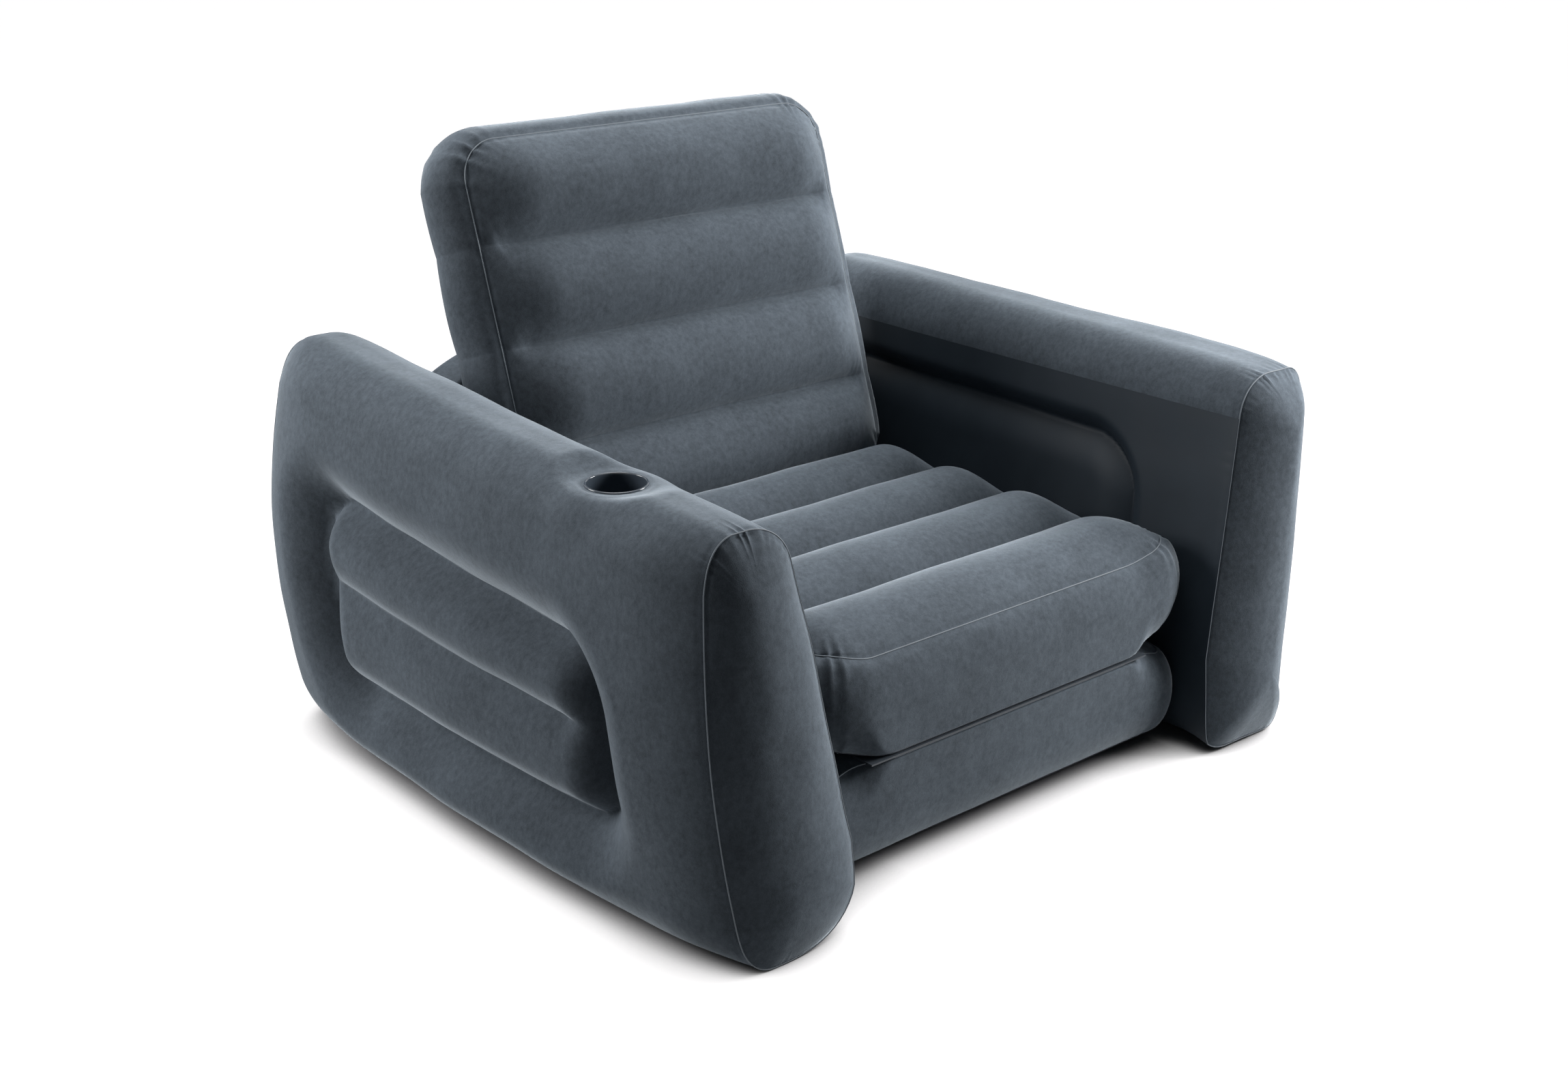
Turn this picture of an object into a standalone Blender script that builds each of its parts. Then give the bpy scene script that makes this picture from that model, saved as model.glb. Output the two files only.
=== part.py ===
"""Inflatable chair bed: two arms and a rear wall stand round a mattress that folds into base, seat and backrest.

The sitter looks along -Y, and the right arm is theirs, at -X. Z is up and the floor is at zero.
Each air chamber is one closed solid. The smooth inner sheets, webs, hinge flanges, cup and valves are their own pieces.
"""

import math

import bmesh
import bpy
import numpy as np
from mathutils import Matrix, Vector

for item in list(bpy.data.objects):
    bpy.data.objects.remove(item, do_unlink=True)

# Fits shared by every piece
gap = 0.0003
sheet_thickness = 0.001
overrun = 0.02

# Folding mattress: the front fold joins base and seat, the rear fold joins seat and backrest
fold_front = -0.447
fold_height = 0.168
channel_width = 0.1458
channels_in_section = 4
section_half_width = 0.326
section_corner_radius = 0.054
section_side_bulge = 0.024
section_nose_bulge = 0.0255
section_crown = 0.051
channel_end_fade = 0.085
side_roll = 0.075

# Seat
seat_gusset = 0.083
seat_top_clearance = 0.0005
seat_under_crown = 0.036

# Backrest
backrest_lean = math.radians(18.4)
backrest_gusset = 0.095
backrest_rear_crown = 0.048

# Base
base_channels = 5
base_gusset = 0.115
base_crown = 0.035
base_under_crown = 0.040
base_half_width = 0.336
base_press = 0.015

# Arms: a tall wedge, narrow on top and wide at the foot
arm_front_reach = 0.0846
arm_front_setback = 0.050
arm_rear_overhang = 0.012
arm_foot_inner = 0.337
arm_foot_outer = 0.538
arm_top_inner = 0.425
arm_top_width = 0.135
arm_front_height = 0.537
arm_rear_height = 0.577
arm_belly = 0.030
arm_side_swell = 0.010
arm_foot_radius = 0.055
arm_top_radius = 0.058
arm_front_nose_inset = 0.050
arm_front_nose_length = 0.075
arm_rear_nose_inset = 0.068
arm_rear_nose_length = 0.110
arm_foot_lift_share = 0.35
arm_lap_seam_height = 0.474

# Recess pressed into both sides of each arm
recess_start = 0.225
recess_length = 0.640
recess_bottom = 0.110
recess_top = 0.365
recess_inner_rise = 0.030
recess_corner_radius = 0.080
recess_outer_depth = 0.044
recess_inner_depth = 0.018
recess_roll = 0.052
recess_crown_share = 0.62

# Shares of the recess height and length that carry grid lines
outer_level_shares = (-0.08, 0.0, 0.10, 0.28, 0.50, 0.72, 0.90, 1.0, 1.10, 1.28)
inner_level_shares = (0.0, 0.12, 0.50, 0.88, 1.0, 1.10)
recess_station_shares = (-0.16, -0.06, -0.02, 0, 0.03, 0.09, 0.24, 0.5, 0.76, 0.91, 0.97, 1, 1.02, 1.07)

# Rear wall between the arms, behind the leaning backrest
wall_height = 0.530
wall_foot_depth = 0.2062
wall_rear_setback = 0.022
wall_foot_gap = 0.004
wall_corner_radius = 0.140
wall_top_radius = 0.042
wall_foot_radius = 0.045
wall_nose_inset = 0.035
wall_nose_length = 0.050

# Shares of one tube's width that carry grid lines
fine_tube_shares = (0.0, 0.07, 0.25, 0.5, 0.75, 0.93, 1.0)
plain_tube_shares = (0.0, 0.25, 0.5, 0.75, 1.0)

# Shares of the rear wall's front and rear faces that carry grid lines
side_shares = (0.25, 0.5, 0.75)

# Internal webs that tie the top of a chamber to its bottom along each groove
web_thickness = 0.001
web_half_length = 0.235
web_margin = 0.003

# Hinge flanges: two welded sheets at each fold
flange_half_length = 0.262
flange_reach = 0.102
rear_flange_reach = 0.070

# Cup in the right arm
cup_inward_shift = 0.0045
cup_setback = 0.2996
cup_rim_rise = 0.003
cup_flange_radius = 0.050
cup_bore_radius = 0.0375
cup_wall = 0.0015
cup_depth = 0.066
cup_floor_radius = 0.006
cup_collar_rise = 0.0005
cup_collar_crest_radius = 0.054
cup_collar_foot_radius = 0.064
cup_collar_depth = 0.040

# Two-in-one valves
valve_flange_radius = 0.025
valve_flange_thickness = 0.0014
valve_barrel_radius = 0.0165
valve_barrel_depth = 0.022
valve_wall = 0.002
stopper_rim_radius = 0.0195
stopper_rim_thickness = 0.0018
neck_radius = 0.0090
neck_height = 0.0050
neck_bore_radius = 0.0060
cap_radius = 0.0112
cap_thickness = 0.0020
cap_plug_depth = 0.0020
cap_tab_width = 0.0060
cap_tab_length = 0.0060
frame_valve_x = 0.180
frame_valve_height = 0.130
frame_valve_sink = 0.004
mattress_valve_along = 0.370
mattress_valve_sink = 0.0065

# Heights and planes that follow from the sizes above
flange_stack = sheet_thickness + 1.5 * gap
base_top = fold_height - flange_stack
seat_underside = fold_height + flange_stack
seat_top = 2 * fold_height - seat_top_clearance
seat_seam_height = seat_top - section_crown
section_length = channels_in_section * channel_width
seat_front_seam = fold_front + gap + section_nose_bulge
rear_fold = seat_front_seam + section_length
wall_front_foot = seat_front_seam + base_channels * channel_width + wall_foot_gap
wall_rear_foot = wall_front_foot + wall_foot_depth
arm_front_foot = fold_front - arm_front_reach
arm_top_outer = arm_top_inner + arm_top_width
arm_rear = wall_rear_foot + arm_rear_overhang
cup_centre_x = cup_inward_shift - 0.5 * (arm_top_inner + arm_top_outer)
cup_centre_y = arm_front_foot + cup_setback
cup_rim_height = arm_front_height + cup_rim_rise
arm_side_slope = (arm_top_inner - arm_foot_inner) / arm_front_height
arm_clearance = sheet_thickness + 2 * gap
arm_length = arm_rear - arm_front_foot - 0.5 * arm_front_setback
rear_setback = sheet_thickness + 1.5 * gap
backrest_depth = backrest_gusset + backrest_rear_crown
fold_half_angle = 0.5 * (math.pi / 2 + backrest_lean)


def material(name, colour, roughness, metallic=0.0):
    made = bpy.data.materials.new(name)
    made.use_nodes = True
    shader = made.node_tree.nodes["Principled BSDF"]
    shader.inputs["Base Color"].default_value = (*colour, 1.0)
    shader.inputs["Roughness"].default_value = roughness
    shader.inputs["Metallic"].default_value = metallic
    return made


flocked = ((0.105, 0.130, 0.155), 0.92)
smooth_vinyl = ((0.022, 0.030, 0.040), 0.42)
flange_vinyl = ((0.030, 0.036, 0.044), 0.38)
web_vinyl = ((0.080, 0.085, 0.090), 0.50)
cup_vinyl = ((0.012, 0.014, 0.017), 0.12)
valve_plastic = ((0.060, 0.062, 0.066), 0.35)
cap_plastic = ((0.110, 0.112, 0.116), 0.40)


def finished(name, mesh_builder, finish):
    """Turn a bmesh into a named object whose faces point outward."""
    bmesh.ops.recalc_face_normals(mesh_builder, faces=mesh_builder.faces[:])
    mesh = bpy.data.meshes.new(name)
    mesh_builder.to_mesh(mesh)
    mesh_builder.free()
    mesh.shade_smooth()
    mesh.set_sharp_from_angle(angle=math.radians(40))
    made = bpy.data.objects.new(name, mesh)
    bpy.context.scene.collection.objects.link(made)
    mesh.materials.append(material(name, *finish))
    return made


def smooth_step(value):
    value = np.clip(value, 0.0, 1.0)
    return value * value * (3.0 - 2.0 * value)


def dome(share):
    """Quarter-round rise: 0 at the rim, 1 one radius in."""
    return np.sqrt(np.clip(1.0 - (1.0 - np.clip(share, 0.0, 1.0)) ** 2, 0.0, 1.0))


def superellipse(steps, power):
    """Shares (inset, depth) along a rounded nose, from its front face to its full section."""
    angles = np.linspace(0.0, math.pi / 2, steps + 1)
    inset = 1.0 - np.sin(angles) ** (2.0 / power)
    depth = 1.0 - np.cos(angles) ** (2.0 / power)
    return list(zip(inset, depth))


def pressed(points, anchor, normal):
    """Flatten whatever lies beyond a contact plane onto that plane."""
    normal = np.asarray(normal, float)
    normal = normal / np.linalg.norm(normal)
    beyond = np.maximum((points - np.asarray(anchor)) @ normal, 0.0)
    return points - beyond[..., None] * normal


def loft(rings):
    """Skin a row of closed rings and cap both ends."""
    builder = bmesh.new()
    rows = [[builder.verts.new(point) for point in ring] for ring in rings]
    count = len(rows[0])
    for row, following in zip(rows, rows[1:]):
        for index in range(count):
            after = (index + 1) % count
            builder.faces.new((row[index], row[after], following[after], following[index]))
    builder.faces.new(rows[0])
    builder.faces.new(rows[-1])
    return builder


def rounded_outline(corners, radii, arc_steps, edge_shares):
    """Points and outward normals round a polygon with filleted corners.

    Each edge runs from one fillet to the next, with extra points at the given shares of that run.
    """
    corners = [np.asarray(corner, float) for corner in corners]
    count = len(corners)
    ends = []
    for index, corner in enumerate(corners):
        before = corners[index - 1] - corner
        after = corners[(index + 1) % count] - corner
        before = before / np.linalg.norm(before)
        after = after / np.linalg.norm(after)
        half_angle = math.acos(float(before @ after)) / 2
        reach = radii[index] / math.tan(half_angle)
        middle = before + after
        centre = corner + middle / np.linalg.norm(middle) * radii[index] / math.sin(half_angle)
        ends.append((corner + before * reach, corner + after * reach, centre))
    points, normals, edges = [], [], []
    for index in range(count):
        start, stop, centre = ends[index]
        first, last = start - centre, stop - centre
        turn = math.acos(float(first @ last) / radii[index] ** 2)
        for step in range(arc_steps[index] + 1):
            share = step / arc_steps[index]
            arm = (first * math.sin((1 - share) * turn) + last * math.sin(share * turn)) / math.sin(turn)
            points.append(centre + arm)
            normals.append(arm / radii[index])
            edges.append(-1)
        run = ends[(index + 1) % count][0] - stop
        normal = last / radii[index]
        for share in edge_shares[index]:
            points.append(stop + run * share)
            normals.append(normal)
            edges.append(index)
    return np.array(points), np.array(normals), np.array(edges)


def arm_inner_face(height):
    return arm_foot_inner + arm_side_slope * height


def against_arms(points):
    """Press a piece that fills the space between the arms onto their inner sheets."""
    for side in (-1, 1):
        anchor = (side * (arm_foot_inner - arm_clearance), 0.0, 0.0)
        points = pressed(points, anchor, (side, 0.0, -arm_side_slope))
    return points


def edge_roll(position, half, radius):
    return np.clip((half - np.abs(position)) / radius, 0.0, 1.0)


def channel_arc(share):
    """Height of one tube across its pitch, as a share of its crown."""
    chord = 0.5 * channel_width
    radius = (chord**2 + section_crown**2) / (2 * section_crown)
    across = (2.0 * share - 1.0) * chord
    return (np.sqrt(radius**2 - across**2) - (radius - section_crown)) / section_crown


def mattress_section(
    half_width, channels, tube_shares, gusset, top_crown, under_crown, front_bulge, rear_bulge
):
    """Grid points of one channelled mattress section, its front seam at y = 0 and its top seam at z = 0."""
    across = np.sin(np.linspace(-math.pi / 2, math.pi / 2, 9)) * half_width
    along = [0.0]
    arcs = [0.0]
    for channel in range(channels):
        for share in tube_shares[1:]:
            along.append((channel + share) * channel_width)
            arcs.append(float(channel_arc(share)))
    length = channels * channel_width
    x, y = np.meshgrid(across, along, indexing="ij")
    arc = np.broadcast_to(np.array(arcs), x.shape)
    half_length = 0.5 * length
    side_share = edge_roll(x, half_width, side_roll)
    end_share = edge_roll(y - half_length, half_length, side_roll)
    groove_share = smooth_step((half_width - np.abs(x)) / channel_end_fade - 0.35)
    ridge = 0.72 * dome(end_share) + 0.28 * arc
    rise = dome(side_share) * (groove_share * arc + (1.0 - groove_share) * ridge)
    inner_x = half_width - section_corner_radius
    inner_y = half_length - section_corner_radius
    u = np.clip((np.abs(x) - inner_x) / section_corner_radius, 0.0, 1.0)
    v = np.clip((np.abs(y - half_length) - inner_y) / section_corner_radius, 0.0, 1.0)
    round_x = np.where((u > 0) & (v > 0), inner_x + section_corner_radius * u * np.sqrt(1 - v * v / 2), np.abs(x))
    round_y = np.where(
        (u > 0) & (v > 0), inner_y + section_corner_radius * v * np.sqrt(1 - u * u / 2), np.abs(y - half_length)
    )
    plan_x = np.sign(x) * round_x
    plan_y = half_length + np.sign(y - half_length) * round_y
    top = np.stack([plan_x, plan_y, top_crown * rise], axis=-1)
    under = np.stack([plan_x, plan_y, -gusset - under_crown * rise], axis=-1)
    rim = rim_of(top)
    tangent = np.roll(rim, -1, axis=0) - np.roll(rim, 1, axis=0)
    outward = np.stack([tangent[:, 1], -tangent[:, 0]], axis=-1)
    outward /= np.linalg.norm(outward, axis=1)[:, None]
    end_bulge = np.where(outward[:, 1] < 0, front_bulge, rear_bulge)
    bulge = section_side_bulge * outward[:, 0] ** 2 + end_bulge * outward[:, 1] ** 2
    bands = []
    for share in (0.2, 0.5, 0.8):
        swell = bulge * (1.0 - (2.0 * share - 1.0) ** 2)
        band = rim.copy()
        band[:, :2] += outward * swell[:, None]
        band[:, 2] = -gusset * share
        bands.append(band)
    return top, under, bands


def rim_of(grid):
    """Outer points of a grid, once round, seen from above."""
    return np.concatenate([grid[:-1, 0], grid[-1, :-1], grid[:0:-1, -1], grid[0, :0:-1]])


def section_builder(top, under, bands):
    """Close a mattress section: top panel, gusset band and underside."""
    builder = bmesh.new()

    def grid_verts(grid):
        return np.array([[builder.verts.new(point) for point in row] for row in grid], dtype=object)

    top_verts, under_verts = grid_verts(top), grid_verts(under)
    for verts, flip in ((top_verts, False), (under_verts, True)):
        for i in range(verts.shape[0] - 1):
            for j in range(verts.shape[1] - 1):
                corner = [verts[i, j], verts[i + 1, j], verts[i + 1, j + 1], verts[i, j + 1]]
                builder.faces.new(corner[::-1] if flip else corner)
    rows = [list(rim_of(top_verts))]
    rows += [[builder.verts.new(point) for point in band] for band in bands]
    rows.append(list(rim_of(under_verts)))
    count = len(rows[0])
    for row, following in zip(rows, rows[1:]):
        for index in range(count):
            after = (index + 1) % count
            builder.faces.new((row[index], following[index], following[after], row[after]))
    return builder


def boxes_builder(boxes):
    """Boxes given by their sizes and centres."""
    builder = bmesh.new()
    for size, centre in boxes:
        bmesh.ops.create_cube(builder, size=1.0, matrix=Matrix.LocRotScale(Vector(centre), None, Vector(size)))
    return builder


def turned(profile, steps):
    """Revolve a closed outline of (radius, height) points about Z."""
    builder = bmesh.new()
    rows = []
    for radius, height in profile:
        if radius == 0:
            rows.append([builder.verts.new((0.0, 0.0, height))])
            continue
        angles = [2 * math.pi * step / steps for step in range(steps)]
        rows.append([builder.verts.new((radius * math.cos(a), radius * math.sin(a), height)) for a in angles])
    for row, following in zip(rows, rows[1:] + rows[:1]):
        if len(row) == 1 and len(following) == 1:
            continue
        for index in range(steps):
            after = (index + 1) % steps
            ring = [row[index % len(row)], row[after % len(row)], following[after % len(following)]]
            ring.append(following[index % len(following)])
            builder.faces.new(list(dict.fromkeys(ring)))
    return builder


def combine(target, helper, operation):
    """Join a hidden helper to a piece, or subtract it."""
    helper.hide_render = True
    helper.display_type = "WIRE"
    boolean = target.modifiers.new(helper.name, "BOOLEAN")
    boolean.operation = operation
    boolean.solver = "EXACT"
    boolean.object = helper


def moved(points, offset):
    return points + np.asarray(offset, float)


def backrest_matrix():
    """Matrix from a flat section, front seam at its origin and top up, to the leaning backrest."""
    turn = Matrix.Rotation(math.pi / 2 - backrest_lean, 4, "X")
    return Matrix.Translation((0.0, rear_fold, seat_seam_height)) @ turn


def placed(points, matrix):
    array = np.array(matrix)
    return points @ array[:3, :3].T + array[:3, 3]


def fold_normal():
    """Normal of the plane where seat and backrest press on each other, pointing to the backrest."""
    return np.array((0.0, math.sin(fold_half_angle), math.cos(fold_half_angle)))


def fold_anchor(side):
    return np.array((0.0, rear_fold, seat_seam_height)) + side * 0.5 * gap * fold_normal()


def make_base():
    top_seam = base_top - base_crown + base_press
    top, under, bands = mattress_section(
        base_half_width, base_channels, plain_tube_shares, base_gusset, base_crown, base_under_crown,
        section_nose_bulge, 0.0,
    )
    parts = [moved(part, (0.0, seat_front_seam, top_seam)) for part in (top, under, *bands)]
    parts = [pressed(part, (0, 0, base_top), (0, 0, 1)) for part in parts]
    parts = [pressed(part, (0, 0, 0), (0, 0, -1)) for part in parts]
    parts = [against_arms(part) for part in parts]
    base = finished("base_section", section_builder(parts[0], parts[1], parts[2:]), flocked)
    add_webs("base", base, base_channels, top_seam, top_seam - base_gusset, Matrix.Identity(4))
    return base


def make_seat():
    top, under, bands = mattress_section(
        section_half_width, channels_in_section, fine_tube_shares, seat_gusset, section_crown, seat_under_crown,
        section_nose_bulge, 0.0,
    )
    parts = [moved(part, (0.0, seat_front_seam, seat_seam_height)) for part in (top, under, *bands)]
    parts = [pressed(part, (0, 0, seat_underside), (0, 0, -1)) for part in parts]
    parts = [pressed(part, (0, rear_fold - rear_setback, 0), (0, 1, 0)) for part in parts]
    parts = [pressed(part, fold_anchor(-1), fold_normal()) for part in parts]
    seat = finished("seat_section", section_builder(parts[0], parts[1], parts[2:]), flocked)
    set_pivot(seat, (0.0, fold_front, fold_height))
    add_webs("seat", seat, channels_in_section, seat_seam_height, seat_seam_height - seat_gusset, Matrix.Identity(4))
    return seat


def make_backrest():
    top, under, bands = mattress_section(
        section_half_width, channels_in_section, fine_tube_shares, backrest_gusset, section_crown, backrest_rear_crown,
        0.0, section_nose_bulge,
    )
    parts = [pressed(part, (0, rear_setback, 0), (0, -1, 0)) for part in (top, under, *bands)]
    parts = [placed(part, backrest_matrix()) for part in parts]
    parts = [pressed(part, fold_anchor(1), -fold_normal()) for part in parts]
    backrest = finished("backrest_section", section_builder(parts[0], parts[1], parts[2:]), flocked)
    set_pivot(backrest, (0.0, rear_fold, seat_seam_height))
    add_webs("backrest", backrest, channels_in_section, 0.0, -backrest_gusset, backrest_matrix())
    return backrest


def set_pivot(target, pivot):
    """Move an object's origin onto its joint axis and leave its shape in place."""
    target.data.transform(Matrix.Translation(-Vector(pivot)))
    target.location = pivot


def add_webs(prefix, chamber, channels, top_seam, under_seam, matrix):
    """Upright web sheets under every groove of a chamber, each in its own slot."""
    front = 0.0 if prefix == "backrest" else seat_front_seam
    height = top_seam - under_seam
    slots = []
    for index in range(1, channels):
        centre = (0.0, front + channel_width * index, 0.5 * (top_seam + under_seam))
        size = (2 * web_half_length, web_thickness, height - 2 * web_margin)
        web = finished(f"{prefix}_web_{index}", boxes_builder([(size, centre)]), web_vinyl)
        web.data.transform(matrix)
        slots.append(((size[0] + 2 * gap, web_thickness + 2 * gap, height + 2 * overrun), centre))
    cutter = finished(prefix + "_web_slots", boxes_builder(slots), web_vinyl)
    cutter.data.transform(matrix)
    combine(chamber, cutter, "DIFFERENCE")


def recess_shape(along, height, depth, grooved):
    """Inward dip of an arm's side at a place on it: a creased frame round a raised cushion."""
    half_along = 0.5 * recess_length
    half_height = 0.5 * (recess_top - recess_bottom)
    reach_along = np.abs(along - recess_start - half_along) - (half_along - recess_corner_radius)
    reach_height = np.abs(height - recess_bottom - half_height) - (half_height - recess_corner_radius)
    outer = np.hypot(np.maximum(reach_along, 0.0), np.maximum(reach_height, 0.0))
    distance = outer + np.minimum(np.maximum(reach_along, reach_height), 0.0) - recess_corner_radius
    tube = np.abs((height - recess_bottom) / half_height % 1.0 * 2.0 - 1.0)
    ripple = 0.45 + 0.55 * np.sqrt(np.clip(1.0 - tube**2, 0.0, 1.0)) if grooved else 1.0
    inside = 1.0 - recess_crown_share * dome(-distance / (0.5 * half_height)) * ripple
    outside = 1.0 - dome(distance / recess_roll)
    return depth * np.where(distance > 0.0, outside, inside)


def arm_front(height):
    return arm_front_foot + arm_front_setback * height / arm_front_height


def arm_height(share):
    """Top of an arm at a share of its length: level at first, then rising to the rear."""
    return arm_front_height + (arm_rear_height - arm_front_height) * share**2


def arm_outline(share):
    """Cross-section of an arm at a share of its length: points (x, z), normals and edge numbers."""
    top = arm_height(share)
    belly = arm_belly * math.sin(math.pi * share)
    corners = [(arm_foot_inner, 0.0), (arm_foot_outer + belly, 0.0), (arm_top_outer + 0.5 * belly, top)]
    corners.append((arm_foot_inner + arm_side_slope * top, top))
    radii = [arm_foot_radius, arm_foot_radius, arm_top_radius, arm_top_radius]
    straight = arm_front_height - arm_foot_radius - arm_top_radius
    recess_height = recess_top - recess_bottom
    outer = [(recess_bottom + s * recess_height - arm_foot_radius) / straight for s in outer_level_shares]
    lift = recess_inner_rise - arm_foot_radius
    inner = [(recess_bottom + s * recess_height + lift) / straight for s in inner_level_shares]
    inner.append((arm_lap_seam_height - arm_foot_radius) / straight)
    inner = [1.0 - s for s in sorted(inner, reverse=True)]
    points, normals, edges = rounded_outline(corners, radii, [3, 3, 4, 4], [(0.33, 0.67), outer, (), inner])
    swell = arm_side_swell * np.sin(math.pi * points[:, 1] / top)
    points[:, 0] += np.where((normals[:, 0] > 0.0), swell, 0.0) * normals[:, 0]
    return points, normals, edges


def arm_rings():
    """Rings of an arm from front to rear, at +X, with the outline's outward directions and edge numbers."""
    nose = superellipse(4, 2.4)
    stations = [(depth * arm_front_nose_length, inset * arm_front_nose_inset) for inset, depth in nose]
    stations += [(recess_start + share * recess_length, 0.0) for share in recess_station_shares]
    rear_nose = [(depth * arm_rear_nose_length, inset * arm_rear_nose_inset) for inset, depth in reversed(nose)]
    stations += [(arm_length - depth, inset) for depth, inset in rear_nose]
    rings, directions = [], []
    for along, inset in stations:
        share = along / arm_length
        points, normals, edges = arm_outline(share)
        points = points - normals * inset
        level = points[:, 1] * arm_front_height / arm_height(share)
        outer_dip = recess_shape(along, level, recess_outer_depth, True)
        inner_dip = recess_shape(along, level - recess_inner_rise, recess_inner_depth, False)
        x = points[:, 0] - np.where(edges == 1, outer_dip, 0.0) + np.where(edges == 3, inner_dip, 0.0)
        foot_lift = inset * (1.0 - arm_foot_lift_share) * np.clip(-normals[:, 1], 0.0, 1.0)
        z = np.maximum(points[:, 1] - foot_lift, 0.0)
        front = arm_front(z)
        y = front + share * (arm_rear - front)
        rings.append(np.stack([x, y, z], axis=-1))
        directions.append(normals)
    return np.array(rings), np.array(directions), edges


def make_arm(side, name):
    rings, _, _ = arm_rings()
    return finished(name, loft(rings * np.array((side, 1.0, 1.0))), flocked)


def make_inner_sheet(side, name):
    """Smooth sheet lapped over an arm's inner side, from the lap seam down round the foot."""
    rings, directions, edges = arm_rings()
    first = int(np.argmax(edges == 3)) + 1
    columns = list(range(first, len(edges))) + [0, 1, 2]
    rows = slice(2, len(rings) - 2)
    surface = rings[rows][:, columns]
    normal = np.zeros_like(surface)
    normal[..., 0] = directions[rows][:, columns, 0]
    normal[..., 2] = directions[rows][:, columns, 1]
    mirror = np.array((side, 1.0, 1.0))
    builder = bmesh.new()
    layers = []
    for lift in (gap, gap + sheet_thickness):
        grid = (surface + normal * lift) * mirror
        layers.append(np.array([[builder.verts.new(p) for p in row] for row in grid], dtype=object))
    for layer in layers:
        for i in range(layer.shape[0] - 1):
            for j in range(layer.shape[1] - 1):
                builder.faces.new((layer[i, j], layer[i + 1, j], layer[i + 1, j + 1], layer[i, j + 1]))
    lower, upper = (list(rim_of(layer)) for layer in layers)
    for index in range(len(lower)):
        after = (index + 1) % len(lower)
        builder.faces.new((lower[index], lower[after], upper[after], upper[index]))
    return finished(name, builder, smooth_vinyl)


def backrest_rear_plane(height):
    """Where the plane behind the backrest lies along Y at a height."""
    rise = height - seat_seam_height
    return rear_fold + (backrest_depth + rise * math.sin(backrest_lean)) / math.cos(backrest_lean)


def make_rear_wall():
    """Bolster across the rear, lofted along X, its ends against the arms and its brow against the backrest."""
    half = arm_inner_face(wall_height)
    top_front = backrest_rear_plane(wall_height - wall_top_radius) + gap
    nose = superellipse(3, 2.4)
    stations = [(depth * wall_nose_length, inset * wall_nose_inset) for inset, depth in nose]
    stations += [(share * wall_corner_radius, 0.0) for share in (0.6, 0.85)]
    stations += [(wall_corner_radius + share * (half - wall_corner_radius), 0.0) for share in (0.15, 0.6)]
    stations += [(2 * half - place, inset) for place, inset in reversed(stations)]
    rings = []
    for place, inset in stations:
        from_end = min(place, 2 * half - place)
        top = wall_height - wall_corner_radius * (1.0 - float(dome(from_end / wall_corner_radius)))
        corners = [
            (wall_front_foot, 0.0),
            (wall_rear_foot, 0.0),
            (wall_rear_foot - wall_rear_setback * top / wall_height, top),
            (wall_front_foot + (top_front - wall_front_foot) * top / wall_height, top),
        ]
        radii = [wall_foot_radius, wall_foot_radius, wall_top_radius, wall_top_radius]
        points, normals, _ = rounded_outline(corners, radii, [3, 3, 4, 4], [(0.5,), side_shares, (), side_shares])
        points = points - normals * inset
        spread = (place - half) / half * np.minimum(arm_inner_face(points[:, 1]) - arm_clearance, half)
        rings.append(np.stack([spread, points[:, 0], np.maximum(points[:, 1], 0.0)], axis=-1))
    rings = np.array(rings)
    behind = (0.0, backrest_rear_plane(seat_seam_height) + gap, seat_seam_height)
    rings = pressed(rings, behind, (0.0, -math.cos(backrest_lean), math.sin(backrest_lean)))
    return finished("rear_wall", loft(against_arms(rings)), flocked)


def make_front_flanges():
    reach = flange_reach - gap
    centre_y = fold_front + gap + 0.5 * reach
    offset = 0.5 * (gap + sheet_thickness)
    for name, side in (("base_front_flange", -1), ("seat_front_flange", 1)):
        size = (2 * flange_half_length, reach, sheet_thickness)
        flange = finished(name, boxes_builder([(size, (0.0, centre_y, fold_height + side * offset))]), flange_vinyl)
        set_pivot(flange, (0.0, fold_front, fold_height))


def make_rear_flanges():
    height = rear_flange_reach - gap
    offset = 0.5 * (gap + sheet_thickness)
    size = (2 * flange_half_length, sheet_thickness, height)
    centre_z = -gap - 0.5 * height
    seat_flange = finished("seat_rear_flange", boxes_builder([(size, (0.0, -offset, centre_z))]), flange_vinyl)
    seat_flange.location = (0.0, rear_fold, seat_seam_height)
    back_flange = finished("backrest_foot_flange", boxes_builder([(size, (0.0, offset, centre_z))]), flange_vinyl)
    back_flange.matrix_world = backrest_matrix()


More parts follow.
